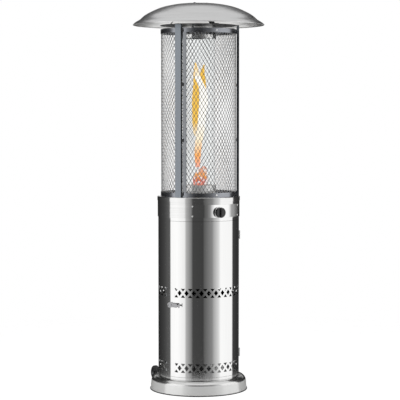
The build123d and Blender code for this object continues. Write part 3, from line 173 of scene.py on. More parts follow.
floor_reach = np.linspace(floor_hub, floor_radius, floor_rings)[:, None]
floor_faces = [*grid_faces(floor_rings, floor_turns, True).tolist(), list(range(floor_turns))]
floor = mesh_object("floor", round_axis(full_turn(floor_turns), floor_reach), floor_faces)
floor.visible_glossy = False

floor_material, floor_tree = bare_material("pale floor")
floor_distance = vector_node(floor_tree, "LENGTH", object_spot(floor_tree))
floor_fade = ranged(
    floor_tree, floor_distance, floor_clear_radius, floor_radius, interpolation_type="SMOOTHSTEP"
)
floor_level = math_node(floor_tree, "MULTIPLY", backdrop_rays(floor_tree), floor_glow)
floor_light = add_node(floor_tree, "Emission", {"Strength": floor_level}).outputs[0]
floor_mat = add_node(floor_tree, "BsdfDiffuse", {"Color": floor_paint}).outputs[0]
floor_both = add_node(floor_tree, "AddShader", {0: floor_light, 1: floor_mat}).outputs[0]
floor_clear = add_node(floor_tree, "BsdfTransparent").outputs[0]
floor_mix = add_node(floor_tree, "MixShader", {"Fac": floor_fade, 1: floor_both, 2: floor_clear})
add_node(floor_tree, "OutputMaterial", {"Surface": floor_mix.outputs[0]})
floor.data.materials.append(floor_material)

# Studio. A white backdrop all round, and a ring of white softboxes and black panels that the camera doesn't
# see, with a lower ring that shows only in reflections. Bearings of shades count from the camera's side, and
# a window in the panels behind the heater gives the deck its light.
surround_radius = 4.6
surround_heights = (-0.74, 5.1)
lower_heights = (-2.0, -0.89)
surround_front_high = (4.1, 4.5)
surround_rear_reach = (60.0, 75.0)
surround_turns = 120
surround_shades = [
    (-180, 0.04), (-150, 0.03), (-132, 0.046), (-120, 0.059), (-110, 0.076), (-100, 0.11), (-87, 0.16),
    (-84.5, 1.3), (-62, 1.35), (-39, 1.15), (-35, 0.6), (-20, 0.26), (-16, 0.075), (12.5, 0.065), (15, 0.13),
    (38, 0.33), (43, 0.53), (58, 0.93), (64, 1.3), (108, 1.25), (112, 0.07), (135, 0.04), (180, 0.04),
]
window_reach = (32.0, 24.0)
window_heights = (1.0, 1.12, 1.24, 1.4)
window_shade = 0.95
world_ambient = 0.75


def ramp(tree, share, stops):
    """Colours that run smoothly through (position, colour) stops, given from the lowest to the highest."""
    made = add_node(tree, "ValToRGB", {"Fac": share})
    elements = made.color_ramp.elements
    for place, (position, colour) in enumerate(stops):
        element = elements[place] if place < 2 else elements.new(position)
        element.position = position
        element.color = (*colour, 1.0)
    return made.outputs["Color"]


def panel_ring(name, heights):
    """An upright ring of quads round the set between two heights, which casts no shadow."""
    points = round_axis(full_turn(surround_turns), surround_radius, np.reshape(heights, (2, 1)))
    ring = mesh_object(name, points, grid_faces(2, surround_turns, True))
    ring.visible_camera = False
    ring.visible_transmission = False
    ring.visible_shadow = False
    ring.data.materials.append(panel_material)
    return ring


panel_material, panel_tree = bare_material("studio panels")
panel_spot = {"Vector": object_spot(panel_tree), "Angle": np.radians(-camera_bearing)}
panel_turned = add_node(panel_tree, "VectorRotate", panel_spot, rotation_type="Z_AXIS").outputs["Vector"]
panel_axes = separate(panel_tree, panel_turned)
panel_back = math_node(panel_tree, "MULTIPLY", panel_axes["Y"], -1.0)
panel_angle = math_node(panel_tree, "ARCTAN2", panel_axes["X"], panel_back)
panel_share = math_node(panel_tree, "MULTIPLY_ADD", panel_angle, 1 / (2 * np.pi), 0.5)
shade_top = max(shade for _, shade in surround_shades)
panel_shade = ramp(
    panel_tree,
    panel_share,
    [(bearing / 360 + 0.5, [shade / shade_top] * 3) for bearing, shade in surround_shades],
)
panel_off_back = math_node(panel_tree, "SUBTRACT", np.pi, math_node(panel_tree, "ABSOLUTE", panel_angle))
window_across = ranged(panel_tree, panel_off_back, *np.radians(window_reach))
window_low, window_clear_low, window_clear_high, window_high = window_heights
window_foot = ranged(panel_tree, panel_axes["Z"], window_low, window_clear_low)
window_head = ranged(panel_tree, panel_axes["Z"], window_high, window_clear_high)
window_upright = math_node(panel_tree, "MULTIPLY", window_foot, window_head)
window_share = math_node(panel_tree, "MULTIPLY", window_across, window_upright)
panel_level = math_node(panel_tree, "MULTIPLY", panel_shade, shade_top)
window_rise = math_node(panel_tree, "SUBTRACT", window_shade, panel_level)
panel_strength = math_node(panel_tree, "MULTIPLY_ADD", window_share, window_rise, panel_level)
panel_above = ranged(panel_tree, panel_axes["Z"], *surround_front_high)
panel_forward = ranged(panel_tree, panel_off_back, *np.radians(surround_rear_reach))
panel_open = math_node(panel_tree, "MULTIPLY", panel_above, panel_forward)
panel_rise = math_node(panel_tree, "SUBTRACT", 1.0, panel_strength)
panel_full = math_node(panel_tree, "MULTIPLY_ADD", panel_open, panel_rise, panel_strength)
panel_light = add_node(panel_tree, "Emission", {"Strength": panel_full})
add_node(panel_tree, "OutputMaterial", {"Surface": panel_light.outputs[0]})
panel_material.cycles.emission_sampling = "NONE"
panel_ring("studio_panels", surround_heights)
panel_ring("studio_panels_low", lower_heights).visible_diffuse = False

world = bpy.data.worlds.new("white backdrop")
world.use_nodes = True
world_tree = world.node_tree
world_rays = backdrop_rays(world_tree)
world_level = math_node(world_tree, "MULTIPLY_ADD", world_rays, 1.0 - world_ambient, world_ambient)
world_shader = world_tree.nodes["Background"].inputs
world_shader["Color"].default_value = (1.0, 1.0, 1.0, 1.0)
world_tree.links.new(world_level, world_shader["Strength"])
scene.world = world

lamp_places = [("left softbox", -75.0, 2.6, 2.2, 1.6, 26.0), ("right softbox", 25.0, 2.8, 2.4, 1.6, 18.0)]
for lamp_name, lamp_bearing, lamp_distance, lamp_height, lamp_size, lamp_power in lamp_places:
    lamp_data = bpy.data.lights.new(lamp_name, "AREA")
    lamp_data.shape = "SQUARE"
    lamp_data.size = lamp_size
    lamp_data.energy = lamp_power
    lamp = new_object(lamp_name, lamp_data)
    lamp.location = round_axis(lamp_bearing, lamp_distance, lamp_height)
    lamp_tilt = np.arctan2(lamp_height - camera_height, lamp_distance)
    lamp.rotation_euler = (np.radians(90) - lamp_tilt, 0, np.radians(lamp_bearing))
    lamp.visible_glossy = False

# Base. A pressed drum of brushed stainless sheet with a large rounded shoulder and a slightly flared side.
# Its grain runs round it. Its upright side has painted light, a paler colour and less of a mirror, and the
# top still reflects the housing.
base_low, base_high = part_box("base_shell")
base_sheet = 0.0012
base_shoulder = 0.027
base_slope = 0.0065
base_drain = 0.02
round_turns = 192
grain_scales = {"round": (3.0, 3.0, 900.0), "upright": (700.0, 700.0, 4.0)}
ring_grain = 800.0


def rounded_path(points, radii, steps=10):
    """The points of a path of straight runs, whose corners are replaced by arcs of the given radii."""
    points = np.asarray(points, float)
    made = [points[:1]]
    for before, corner, after, radius in zip(points, points[1:], points[2:], radii):
        back = (before - corner) / np.linalg.norm(before - corner)
        on = (after - corner) / np.linalg.norm(after - corner)
        if radius == 0:
            made.append(corner[None, :])
            continue
        half = np.arccos(np.clip(back @ on, -1, 1)) / 2
        middle = corner + (back + on) / np.linalg.norm(back + on) * radius / np.sin(half)
        first = corner + back * radius / np.tan(half) - middle
        last = corner + on * radius / np.tan(half) - middle
        start = np.arctan2(first[1], first[0])
        sweep = np.arctan2(first[0] * last[1] - first[1] * last[0], first @ last)
        angle = start + sweep * np.linspace(0, 1, steps)
        made.append(middle + radius * np.stack([np.cos(angle), np.sin(angle)], axis=-1))
    made.append(points[-1:])
    return np.concatenate(made)


def sheet_section(path, thickness):
    """A closed section: the path, and the path moved to its right by the thickness, walked back."""
    run = np.gradient(path, axis=0)
    right = np.stack([run[:, 1], -run[:, 0]], axis=-1) / np.linalg.norm(run, axis=1)[:, None]
    return np.concatenate([path, (path + right * thickness)[::-1]])


def turned_piece(name, section, sharp=35.0, turns=round_turns):
    """A solid of revolution: each point (r, z) of the closed section goes once round the axis."""
    section = np.asarray(section, float)
    points = round_axis(full_turn(turns), section[:, :1], section[:, 1:])
    points = np.concatenate([points, points[:1]])
    made = mesh_object(name, points, grid_faces(len(section) + 1, turns, True))
    return closed_piece(made, sharp)


def closed_piece(piece, sharp):
    """Merges doubled points, turns the faces outwards and keeps edges over an angle sharp."""
    work = bmesh.new()
    work.from_mesh(piece.data)
    bmesh.ops.remove_doubles(work, verts=work.verts, dist=1e-6)
    bmesh.ops.dissolve_degenerate(work, edges=work.edges, dist=1e-7)
    bmesh.ops.recalc_face_normals(work, faces=work.faces)
    work.to_mesh(piece.data)
    work.free()
    piece.data.set_sharp_from_angle(angle=np.radians(sharp))
    return piece


def dress(piece, body, material, slot, *replaced):
    """Gives a piece its material, its body and the nodes that it stands for. The slot is not used."""
    piece.data.materials.clear()
    piece.data.materials.append(material)
    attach(piece, body)
    if replaced:
        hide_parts(*replaced)
    return piece


def scaled(tree, spot, scale):
    """Coordinates times a scale for each axis."""
    return add_node(tree, "Mapping", {"Vector": spot, "Scale": scale}).outputs["Vector"]


def noise(tree, spot, scale, detail, roughness=0.5):
    """The value of a noise, whose lumps are about one over the scale apart."""
    inputs = {"Vector": spot, "Scale": scale, "Detail": detail, "Roughness": roughness}
    return add_node(tree, "TexNoise", inputs).outputs["Fac"]


def relief_normal(tree, height, strength, distance, **before):
    """The normal of a face whose relief follows a height, over the relief before it."""
    inputs = {"Height": height, "Strength": strength, "Distance": distance, **before}
    return add_node(tree, "Bump", inputs).outputs["Normal"]


def shaded(name, **values):
    """A material, its tree and its shader, with the shader's values that are the same all over."""
    material = bpy.data.materials.new(name)
    material.use_nodes = True
    shader = material.node_tree.nodes["Principled BSDF"]
    for key, value in values.items():
        shader.inputs[key.replace("_", " ")].default_value = value
    return material, material.node_tree, shader


def feed(tree, shader, colour, roughness, normal):
    """Links a shader's colour, roughness and normal."""
    for key, socket in (("Base Color", colour), ("Roughness", roughness), ("Normal", normal)):
        tree.links.new(socket, shader.inputs[key])


def darker(colour, share):
    """A colour with each channel times a share."""
    return [channel * share for channel in colour]


def grain_vector(tree, run):
    """Coordinates along which a brushed grain is long: round the axis, up and down, or in rings on a dome."""
    spot = object_spot(tree)
    if run in grain_scales:
        return scaled(tree, spot, grain_scales[run])
    axes = separate(tree, spot)
    flat = add_node(tree, "CombineXYZ", {"X": axes["X"], "Y": axes["Y"]}).outputs[0]
    rings = math_node(tree, "MULTIPLY", vector_node(tree, "LENGTH", flat), ring_grain)
    way = separate(tree, vector_node(tree, "NORMALIZE", flat))
    return add_node(tree, "CombineXYZ", {"X": way["X"], "Y": way["Y"], "Z": rings}).outputs[0]


def steel(name, colour, roughness, grain, run, wave=0.0, smudge=0.05, metal=1.0):
    """Stainless steel: a grain in its gloss and relief, broad smudges, and a slow wave in rolled sheet."""
    material, tree, shader = shaded(name, Metallic=metal)
    spot = object_spot(tree)
    lines = noise(tree, grain_vector(tree, run), 1.0, 4.0, 0.6)
    cloud = noise(tree, spot, 9.0, 5.0, 0.62)
    specks = noise(tree, spot, 60.0, 3.0, 0.7)
    lined = math_node(tree, "MULTIPLY_ADD", lines, grain * 0.35, roughness - grain * 0.175)
    clouded = math_node(tree, "MULTIPLY_ADD", cloud, smudge, lined)
    marked = math_node(tree, "MULTIPLY_ADD", specks, smudge * 0.5, clouded)
    fine = relief_normal(tree, lines, min(1.0, grain), 0.00004)
    feed(
        tree,
        shader,
        ramp(tree, lines, [(0.3, darker(colour, 1 - 0.45 * grain)), (0.62, colour)]),
        math_node(tree, "SUBTRACT", marked, smudge * 0.75),
        relief_normal(tree, noise(tree, spot, 5.0, 1.0), 1.0, wave, Normal=fine),
    )
    return material


def facing_over(tree, first, last):
    """Nought to one as the upright part of a face's normal goes from the first value to the last."""
    normal = add_node(tree, "TexCoord").outputs["Normal"]
    return ranged(tree, separate(tree, normal)["Z"], first, last)


def paint_facing_light(material, bright, dull, share):
    """Paints light into a steel: mixes a brighter colour into the share of its faces that a socket gives, by
    the way they face, and makes them less of a mirror by the amount of dulling."""
    tree = material.node_tree
    shader = tree.nodes["Principled BSDF"]
    colour = shader.inputs["Base Color"].links[0].from_socket
    mixed = add_node(tree, "MixRGB", {"Fac": share, "Color1": colour, "Color2": (*bright, 1.0)})
    tree.links.new(mixed.outputs[0], shader.inputs["Base Color"])
    tree.links.new(math_node(tree, "MULTIPLY_ADD", share, -dull, 1.0), shader.inputs["Metallic"])
    return material


brushed_round = steel("brushed steel, grain round", (0.68, 0.68, 0.675), 0.17, 0.4, "round", wave=0.0002)
# Painted light: the base's upright side is paler and less of a mirror than its top.
paint_facing_light(brushed_round, (0.93, 0.93, 0.92), 0.8, facing_over(brushed_round.node_tree, 0.4, 0.2))
base_corners = [(base_drain, base_high.z), (base_high.x - base_slope, base_high.z), (base_high.x, base_low.z)]
base_path = rounded_path(base_corners, [base_shoulder], steps=24)
base_skin = turned_piece("base_skin", sheet_section(base_path, base_sheet))
dress(base_skin, "frame", brushed_round, "brushed_steel", "base_shell")

# Base edge. A moulded rubber edge that the drum stands in, matt and slightly dusty.
edge_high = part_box("base_edge_trim")[1]
edge_inner = 0.212
edge_seat = 0.0037
edge_round = 0.0018
edge_rise = 0.0048
edge_clearance = 0.0003


def moulded(name, colour, roughness, relief=0.0001, pitch=900.0, coat=0.0):
    """A moulded plastic or rubber: a fine pebbled relief and patches of dust in its gloss."""
    material, tree, shader = shaded(name, Coat_Weight=coat)
    spot = object_spot(tree)
    dust = noise(tree, spot, 30.0, 5.0, 0.7)
    dusty = [channel * 1.35 + 0.004 for channel in colour]
    feed(
        tree,
        shader,
        ramp(tree, dust, [(0.35, colour), (0.75, dusty)]),
        math_node(tree, "MULTIPLY_ADD", dust, 0.2, roughness - 0.1),
        relief_normal(tree, noise(tree, spot, pitch, 2.0), 0.6, relief),
    )
    return material


black_rubber = moulded("black rubber", (0.022, 0.022, 0.023), 0.6)
edge_step = base_high.x + edge_clearance
edge_corners = [
    (edge_inner, edge_seat), (edge_inner, 0.0), (edge_high.x, 0.0), (edge_high.x, edge_rise),
    (edge_step, edge_rise), (edge_step, edge_seat),
]
edge_section = rounded_path(edge_corners, [edge_round, edge_round, edge_round / 2, 0.0], steps=6)
base_edge = turned_piece("base_edge", edge_section)
dress(base_edge, "frame", black_rubber, "black_rubber", "base_edge_trim")

# Bottle housing. A tube of mirror-polished stainless sheet, open at the front for the door. Two rows of
# diamonds and triangles are cut in it, and the strands between them cross.
housing_low, housing_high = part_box("housing_shell")
door_low, door_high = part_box("door_shell")
housing_radius = housing_high.x
wall_sheet = 0.0012
seam_bearing = -76.5
hinge_bearing = 62.0
lattice_pitch = 10.5
lattice_half = 0.021
lattice_strand = 0.0049
lattice_corner = 0.001
lattice_rows = (0.123, 0.469)
lattice_corner_steps = 7
housing_crosses = (77.5, 20)
column_step = 2.4
door_gap = 0.001
notch_half = 0.0048
notch_heights = ((0.1506, 0.1904), (0.7036, 0.7434))


def spread(start, end):
    """Evenly spaced bearings from start to end, no further apart than a column step."""
    return np.linspace(start, end, int(np.ceil((end - start) / column_step)) + 1)


def bent_wall(name, radius, thickness, polygons, leans=((0.0, 0.0),)):
    """A closed sheet: flat polygons, given as arrays of (bearing, height), bent round the axis, with the
    same polygons one thickness further in and a rim along every free edge. Its normals point straight out
    and straight in, so that the gloss runs evenly over the bend. Where a sheet isn't bent evenly, leans gives
    bearings and the degrees by which it faces further round there, with straight runs between them."""
    corners = np.concatenate([shape.reshape(-1, 2) for shape in polygons]).round(6)
    corners[:, 0] %= 360
    unique, index = np.unique(corners, axis=0, return_inverse=True)
    index = index.ravel()
    count = len(unique)
    faces, edges, at = [], [], 0
    for shape in polygons:
        many, sides = shape.shape[:2]
        block = index[at: at + many * sides].reshape(many, sides)
        at += many * sides
        faces.append(block)
        edges.append(np.stack([block, np.roll(block, -1, axis=1)], axis=-1).reshape(-1, 2))
    edges = np.concatenate(edges)
    free = ~np.isin(edges[:, 0] * count + edges[:, 1], edges[:, 1] * count + edges[:, 0])
    first, second = edges[free].T
    rims = np.stack([second, first, first + count, second + count], axis=-1)
    faces_at = (radius, radius - thickness)
    points = np.concatenate([round_axis(unique[:, 0], reach, unique[:, 1]) for reach in faces_at])
    inner_faces = [(block + count)[:, ::-1] for block in faces]
    all_faces = [row for block in [*faces, *inner_faces, rims] for row in block.tolist()]
    made = mesh_object(name, points, all_faces)
    signed = (unique[:, 0] + 180) % 360 - 180
    out = round_axis(signed + np.interp(signed, *np.transpose(leans)), 1.0)
    rim_points = points[rims]
    rim_normals = np.cross(rim_points[:, 1] - rim_points[:, 0], rim_points[:, 3] - rim_points[:, 0])
    rim_normals /= np.linalg.norm(rim_normals, axis=1)[:, None]
    normals = [out[block.ravel()] for block in faces]
    normals += [-out[block.ravel() - count] for block in inner_faces]
    normals.append(np.repeat(rim_normals, 4, axis=0))
    made.data.normals_split_custom_set(np.concatenate(normals).tolist())
    return made


def wall_cells(columns, levels, left_out):
    """Quads between the columns and the levels, without those whose middle lies in a left-out box."""
    low_b, low_z = np.meshgrid(columns[:-1], levels[:-1], indexing="ij")
    high_b, high_z = np.meshgrid(columns[1:], levels[1:], indexing="ij")
    middle_b, middle_z = (low_b + high_b) / 2, (low_z + high_z) / 2
    keep = np.ones_like(low_b, bool)
    for box_low_b, box_high_b, box_low_z, box_high_z in left_out:
        inside_b = (middle_b > box_low_b) & (middle_b < box_high_b)
        keep &= ~(inside_b & (middle_z > box_low_z) & (middle_z < box_high_z))
    corners = ((low_b, low_z), (high_b, low_z), (high_b, high_z), (low_b, high_z))
    return np.stack([np.stack(corner, axis=-1) for corner in corners], axis=-2)[keep]


def lattice_wall(name, low, high, start, end, crosses, left_out):
    """A bent wall with both rows of crossed strands, given as the first cross's bearing and their number.
    Each quarter of a cross runs from its middle along the rounded edge of a diamond to the row's edge, and
    back along the rounded edge of a triangle."""
    rounding = [lattice_corner] * 2, lattice_corner_steps
    half_pitch = housing_radius * np.radians(lattice_pitch) / 2
    strand_run = np.hypot(half_pitch, lattice_half)
    open_share = 1 - lattice_strand * strand_run / (half_pitch * lattice_half)
    apex = lattice_strand * strand_run / half_pitch
    base = (lattice_half - apex) * half_pitch / lattice_half
    inset, top = half_pitch * (1 - open_share), lattice_half * open_share
    diamond = [(half_pitch, -top), (inset, 0), (half_pitch, top), (2 * half_pitch - inset, 0)]
    diamond = rounded_path(diamond, *rounding)
    diamond = diamond[(diamond[:, 1] > -1e-9) & (diamond[:, 0] < half_pitch + 1e-9)]
    triangle = [(-base, lattice_half), (0, apex), (base, lattice_half), (-base, lattice_half)]
    triangle = rounded_path(triangle, *rounding)
    triangle = triangle[triangle[:, 0] > -1e-9][::-1]
    foot = triangle[0, 0]
    quarter = np.concatenate([[(0, 0)], diamond, [(half_pitch, lattice_half)], triangle])
    fan = np.concatenate([[(0, 0), (foot, 0)], triangle])
    foot_angle = np.degrees(foot / housing_radius)
    cross = crosses[0] + lattice_pitch * np.arange(crosses[1])
    first, last = cross[0] - foot_angle, cross[-1] + foot_angle
    columns = np.concatenate([
        spread(start, first), cross - foot_angle, cross, cross + foot_angle, cross[:-1] + lattice_pitch / 2,
        spread(last, end), [edge for box in left_out for edge in box[:2] if start < edge < end],
    ])
    row_edges = [row + side * lattice_half for row in lattice_rows for side in (-1, 0, 1)]
    box_edges = [edge for box in left_out for edge in box[2:] if low < edge < high]
    levels = np.array([low, high, *row_edges, *box_edges])
    row_boxes = [(first, last, row - lattice_half, row + lattice_half) for row in lattice_rows]
    cells = wall_cells(np.unique(columns.round(6)), np.unique(levels.round(6)), [*left_out, *row_boxes])
    shapes = [cells]
    for row in lattice_rows:
        for side, flip in ((1, 1), (-1, 1), (1, -1), (-1, -1)):
            for outline, centres in (
                (quarter, cross[:-1] if side == 1 else cross[1:]),
                (fan, cross[-1:] if side == 1 else cross[:1]),
            ):
                shape = outline[:: side * flip] * (side, flip)
                bearings = centres[:, None] + np.degrees(shape[None, :, 0] / housing_radius)
                heights = row + shape[None, :, 1] + 0 * bearings
                shapes.append(np.stack([bearings, heights], axis=-1))
    return bent_wall(name, housing_radius, wall_sheet, shapes)


mirror_steel = steel(
    "mirror-polished steel", (0.74, 0.74, 0.735), 0.055, 0.10, "upright", wave=0.00012, smudge=0.04
)


def cut_box(bearing, half, low, high):
    """A box cut in the housing or door, as its two bearings and its two heights."""
    angle = np.degrees(half / housing_radius)
    return bearing - angle, bearing + angle, low, high


notches = [cut_box(hinge_bearing, notch_half, *heights) for heights in notch_heights]
doorway = (seam_bearing, hinge_bearing, door_low.z - door_gap, door_high.z + door_gap)
housing_span = housing_low.z, housing_high.z, seam_bearing, seam_bearing + 360
housing_skin = lattice_wall("housing_skin", *housing_span, housing_crosses, [doorway, *notches])
dress(housing_skin, "frame", mirror_steel, "polished_steel", "housing_shell")

# Door. The rest of the same tube, with its own run of crosses. It swings on two hinges at the right and
# has one hole for the latch spindle under the round pad at the left.
latch_bearing = -72.5
latch_height = 0.4115
latch_hole_half = 0.0043
door_crosses = (-62.75, 12)
latch_heights = latch_height - latch_hole_half, latch_height + latch_hole_half
latch_hole = cut_box(latch_bearing, latch_hole_half, *latch_heights)
gap_angle = np.degrees(door_gap / housing_radius)
door_span = door_low.z, door_high.z, seam_bearing + gap_angle, hinge_bearing - gap_angle
door_skin = lattice_wall("door_skin", *door_span, door_crosses, [latch_hole, *notches])
dress(door_skin, "door", mirror_steel, "polished_steel", "door_shell")

# Door hardware. The stop strip behind the latch edge, and two butt hinges with their pins, of zinc-coated
# steel with faint crystals in the coat.


def finish_nodes(material, *names):
    """Gives CAD nodes that stay in view their material."""
    for name in names:
        nodes[name].data.materials.clear()
        nodes[name].data.materials.append(material)


def zinc(name, colour, roughness):
    """Zinc-coated steel: crystals of slightly different shade and gloss, with a dull film over them."""
    material, tree, shader = shaded(name, Metallic=1.0)
    spot = object_spot(tree)
    crystals = add_node(tree, "TexVoronoi", {"Vector": spot, "Scale": 160.0}).outputs["Color"]
    tone = separate(tree, crystals)["X"]
    film = noise(tree, spot, 45.0, 5.0, 0.65)
    mixed = math_node(tree, "MULTIPLY_ADD", film, 0.6, math_node(tree, "MULTIPLY", tone, 0.4))
    feed(
        tree,
        shader,
        ramp(tree, mixed, [(0.25, darker(colour, 0.72)), (0.75, colour)]),
        math_node(tree, "MULTIPLY_ADD", mixed, 0.25, roughness - 0.12),
        relief_normal(tree, mixed, 0.4, 0.0002),
    )
    return material


zinc_steel = zinc("zinc-coated steel", (0.55, 0.57, 0.58), 0.38)
hinge_steel = steel("hinge steel", (0.62, 0.62, 0.62), 0.22, 0.3, "upright", smudge=0.08)
finish_nodes(zinc_steel, "door_jamb_strip")
finish_nodes(hinge_steel, "hinge_frame_leaves", "hinge_door_leaves", "hinge_pins")

# Latch. A flat bar of brushed stainless on a round pad, with a folded thumb tab, on a spindle whose cam
# catches behind the stop strip.
latch_steel = steel("latch steel", (0.5, 0.5, 0.51), 0.3, 0.45, "upright", smudge=0.08)
finish_nodes(latch_steel, "latch_rosette", "latch_handle")
finish_nodes(zinc_steel, "latch_spindle", "latch_cam")

# Inside the base. A closing plate, a cast ring that keeps the heater upright, four bent feet under the
# housing and the bolts that hold them.


def coarse(name, colour, metal, roughness, scale, relief):
    """A rough cast, painted or weathered face: lumps in its relief, with pits that are darker and duller."""
    material, tree, shader = shaded(name, Metallic=metal)
    lumps = noise(tree, object_spot(tree), scale, 6.0, 0.65)
    feed(
        tree,
        shader,
        ramp(tree, lumps, [(0.3, darker(colour, 0.6)), (0.7, darker(colour, 1.2))]),
        math_node(tree, "MULTIPLY_ADD", lumps, -0.25, roughness + 0.12),
        relief_normal(tree, lumps, 0.7, relief),
    )
    return material


cast_iron = coarse("cast iron", (0.1, 0.1, 0.1), 0.6, 0.65, 140.0, 0.0006)
finish_nodes(zinc_steel, "base_floor_plate", "base_bolts", "housing_feet")
finish_nodes(cast_iron, "ballast_ring")

# Transport wheels. Two black plastic wheels with a rounded tread on a zinc-coated axle, behind the base on
# a bracket of black painted steel.
black_paint = coarse("black heat-proof paint", (0.035, 0.035, 0.037), 0.0, 0.45, 260.0, 0.0002)
black_plastic = moulded("black plastic", (0.016, 0.016, 0.017), 0.36, relief=0.00008)
wheel_plastic = moulded("wheel plastic", (0.02, 0.02, 0.021), 0.5, relief=0.0001, pitch=500.0)
finish_nodes(wheel_plastic, "left_wheel", "right_wheel", "axle_caps")
finish_nodes(black_paint, "wheel_bracket")
finish_nodes(zinc_steel, "wheel_axle")

# Control drum and deck. The same polished sheet as the housing, a little wider, under a flat deck with a
# turned-down skirt.
drum_steel = steel("satin-polished steel", (0.72, 0.72, 0.715), 0.1, 0.25, "round", smudge=0.06)
finish_nodes(drum_steel, "control_drum", "top_deck")

# Control panel. A curved mirror-polished plate on four pan-head screws. It was rolled unevenly: it bends
# fast to the left of the knob and runs out nearly flat at the right, which shows in what it reflects.
plate_low, plate_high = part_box("control_panel")
plate_radius = -plate_low.y
plate_half_angle = 41.5
plate_corner = 0.005
plate_corner_steps = 7
plate_leans = (
    (-28.0, 0.0), (-18.2, -1.8), (-15.4, 1.9), (-12.5, 5.0), (-10.3, 9.5), (13.6, 10.3), (17.6, 7.4),
    (21.9, 3.9), (26.6, -0.8), (32.1, -6.0), (38.8, -12.5), (41.5, -14.5),
)
panel_steel = steel("panel steel", (0.76, 0.76, 0.755), 0.05, 0.08, "upright", smudge=0.03)
# Painted highlight: the screw heads are near white and half matt, so they show as bright glints under any
# light.
screw_highlight_colour = (0.95, 0.95, 0.94)
screw_steel = steel("screw steel", screw_highlight_colour, 0.16, 0.2, "upright", smudge=0.08, metal=0.5)
screw_tint = screw_steel.node_tree.nodes["Principled BSDF"].inputs["Base Color"]
screw_steel.node_tree.links.remove(screw_tint.links[0])
screw_tint.default_value = (*screw_highlight_colour, 1.0)
plate_corner_angle = np.degrees(plate_corner / plate_radius)
corner_spread = plate_half_angle - plate_corner_angle * np.cos(np.linspace(0, np.pi / 2, plate_corner_steps))
plate_bearings = np.concatenate([
    -corner_spread[::-1],
    spread(-corner_spread[0], corner_spread[0]),
    corner_spread,
    [bearing for bearing, _ in plate_leans],
])
plate_bearings = np.unique(plate_bearings.round(6))
plate_bearings = plate_bearings[np.abs(plate_bearings) <= plate_half_angle]
end_gap = np.radians(plate_half_angle - np.abs(plate_bearings)) * plate_radius
inset = plate_corner - np.sqrt(plate_corner**2 - np.clip(plate_corner - end_gap, 0, plate_corner) ** 2)
plate_foot = np.stack([plate_bearings, plate_low.z + inset], axis=-1)
plate_head = np.stack([plate_bearings, plate_high.z - inset], axis=-1)
plate_quads = np.stack([plate_foot[:-1], plate_foot[1:], plate_head[1:], plate_head[:-1]], axis=1)
plate = bent_wall("control_plate", plate_radius, wall_sheet, [plate_quads], plate_leans)
dress(plate, "frame", panel_steel, "polished_steel", "control_panel")
finish_nodes(screw_steel, "panel_screws")

# Gas knob. A black moulded knob with a grip bar, on a round bezel, with its steel spindle and return spring
# behind the panel.
spring_low, spring_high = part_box("plunger_spring")
spring_wire = 0.00055
spring_turns = 4.5
spring_steps, spring_sides = 145, 12
knob_plastic = moulded("knob plastic", (0.012, 0.012, 0.013), 0.24, relief=0.00005, pitch=1200.0, coat=0.2)
finish_nodes(panel_steel, "knob_bezel")
finish_nodes(knob_plastic, "gas_knob")
finish_nodes(zinc_steel, "knob_spindle", "plunger_washer")


def closed_tube(name, rings, sharp):
    """A tube through rings of points, given as rings by points by x, y and z, with both its ends capped."""
    count, sides = rings.shape[:2]
    last = (count - 1) * sides
    faces = grid_faces(count, sides, True).tolist()
    faces += [list(range(sides))[::-1], list(range(last, last + sides))]
    return closed_piece(mesh_object(name, rings, faces), sharp)


def coil_spring(name, low, high, wire):
    """A round wire on a helix along y: at each step a ring of points, the coil's radius out from the axis."""
    middle = (low + high) / 2
    coil = (high.z - low.z) / 2 - wire
    turn = np.linspace(0, 2 * np.pi * spring_turns, spring_steps)[:, None]
    along = np.linspace(high.y - wire, low.y + wire, spring_steps)[:, None]
    round_wire = np.radians(full_turn(spring_sides))
    reach = coil + wire * np.cos(round_wire)
    height = middle.z + reach * np.sin(turn)
    rings = np.stack([reach * np.cos(turn), along + wire * np.sin(round_wire), height], axis=-1)
    return closed_tube(name, rings, sharp=60.0)


spring = coil_spring("return_spring", spring_low, spring_high, spring_wire)
dress(spring, "frame", zinc_steel, "galvanised_steel", "plunger_spring")
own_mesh(spring)

# Gas train. A brass valve on a bent bracket, with its inlet fitting, its pipe, union nuts and injector, and
# the steel mixing tube up to the burner.
brass = steel("brass", (0.72, 0.52, 0.24), 0.3, 0.35, "round", smudge=0.1)
finish_nodes(brass, "valve_body", "gas_inlet_fitting", "gas_pipe", "pipe_nuts", "gas_injector")
finish_nodes(zinc_steel, "valve_bracket", "burner_tube")

# Ignition. A piezo module and a tilt switch in black plastic, and two ceramic probes beside the burner on
# silicone-covered leads.
white_ceramic = moulded("white ceramic", (0.78, 0.76, 0.7), 0.2, relief=0.00004, coat=0.4)
red_silicone = moulded("lead cover", (0.3, 0.035, 0.03), 0.5)
finish_nodes(black_plastic, "igniter_module", "tilt_switch")
finish_nodes(white_ceramic, "igniter_electrode", "flame_sensor")
finish_nodes(red_silicone, "probe_leads")

# Burner head. A drawn steel cup with a ring of ports under its rim, tinted straw and blue by the heat.
burner_steel = steel("heat-tinted steel", (0.46, 0.38, 0.32), 0.35, 0.4, "round", smudge=0.15)
finish_nodes(burner_steel, "burner_head")

# Glass tube and its collars. A clear tube stands in a polished cup on the deck and reaches into an upper
# collar that hangs from the ring plate. Silicone rings hold it at both ends.
glass_low, glass_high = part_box("glass_tube")
glass_wall = 0.003
glass_edge = 0.0012
glass_seam = 0.001
glass_turns = 128
glass_ior = 1.12


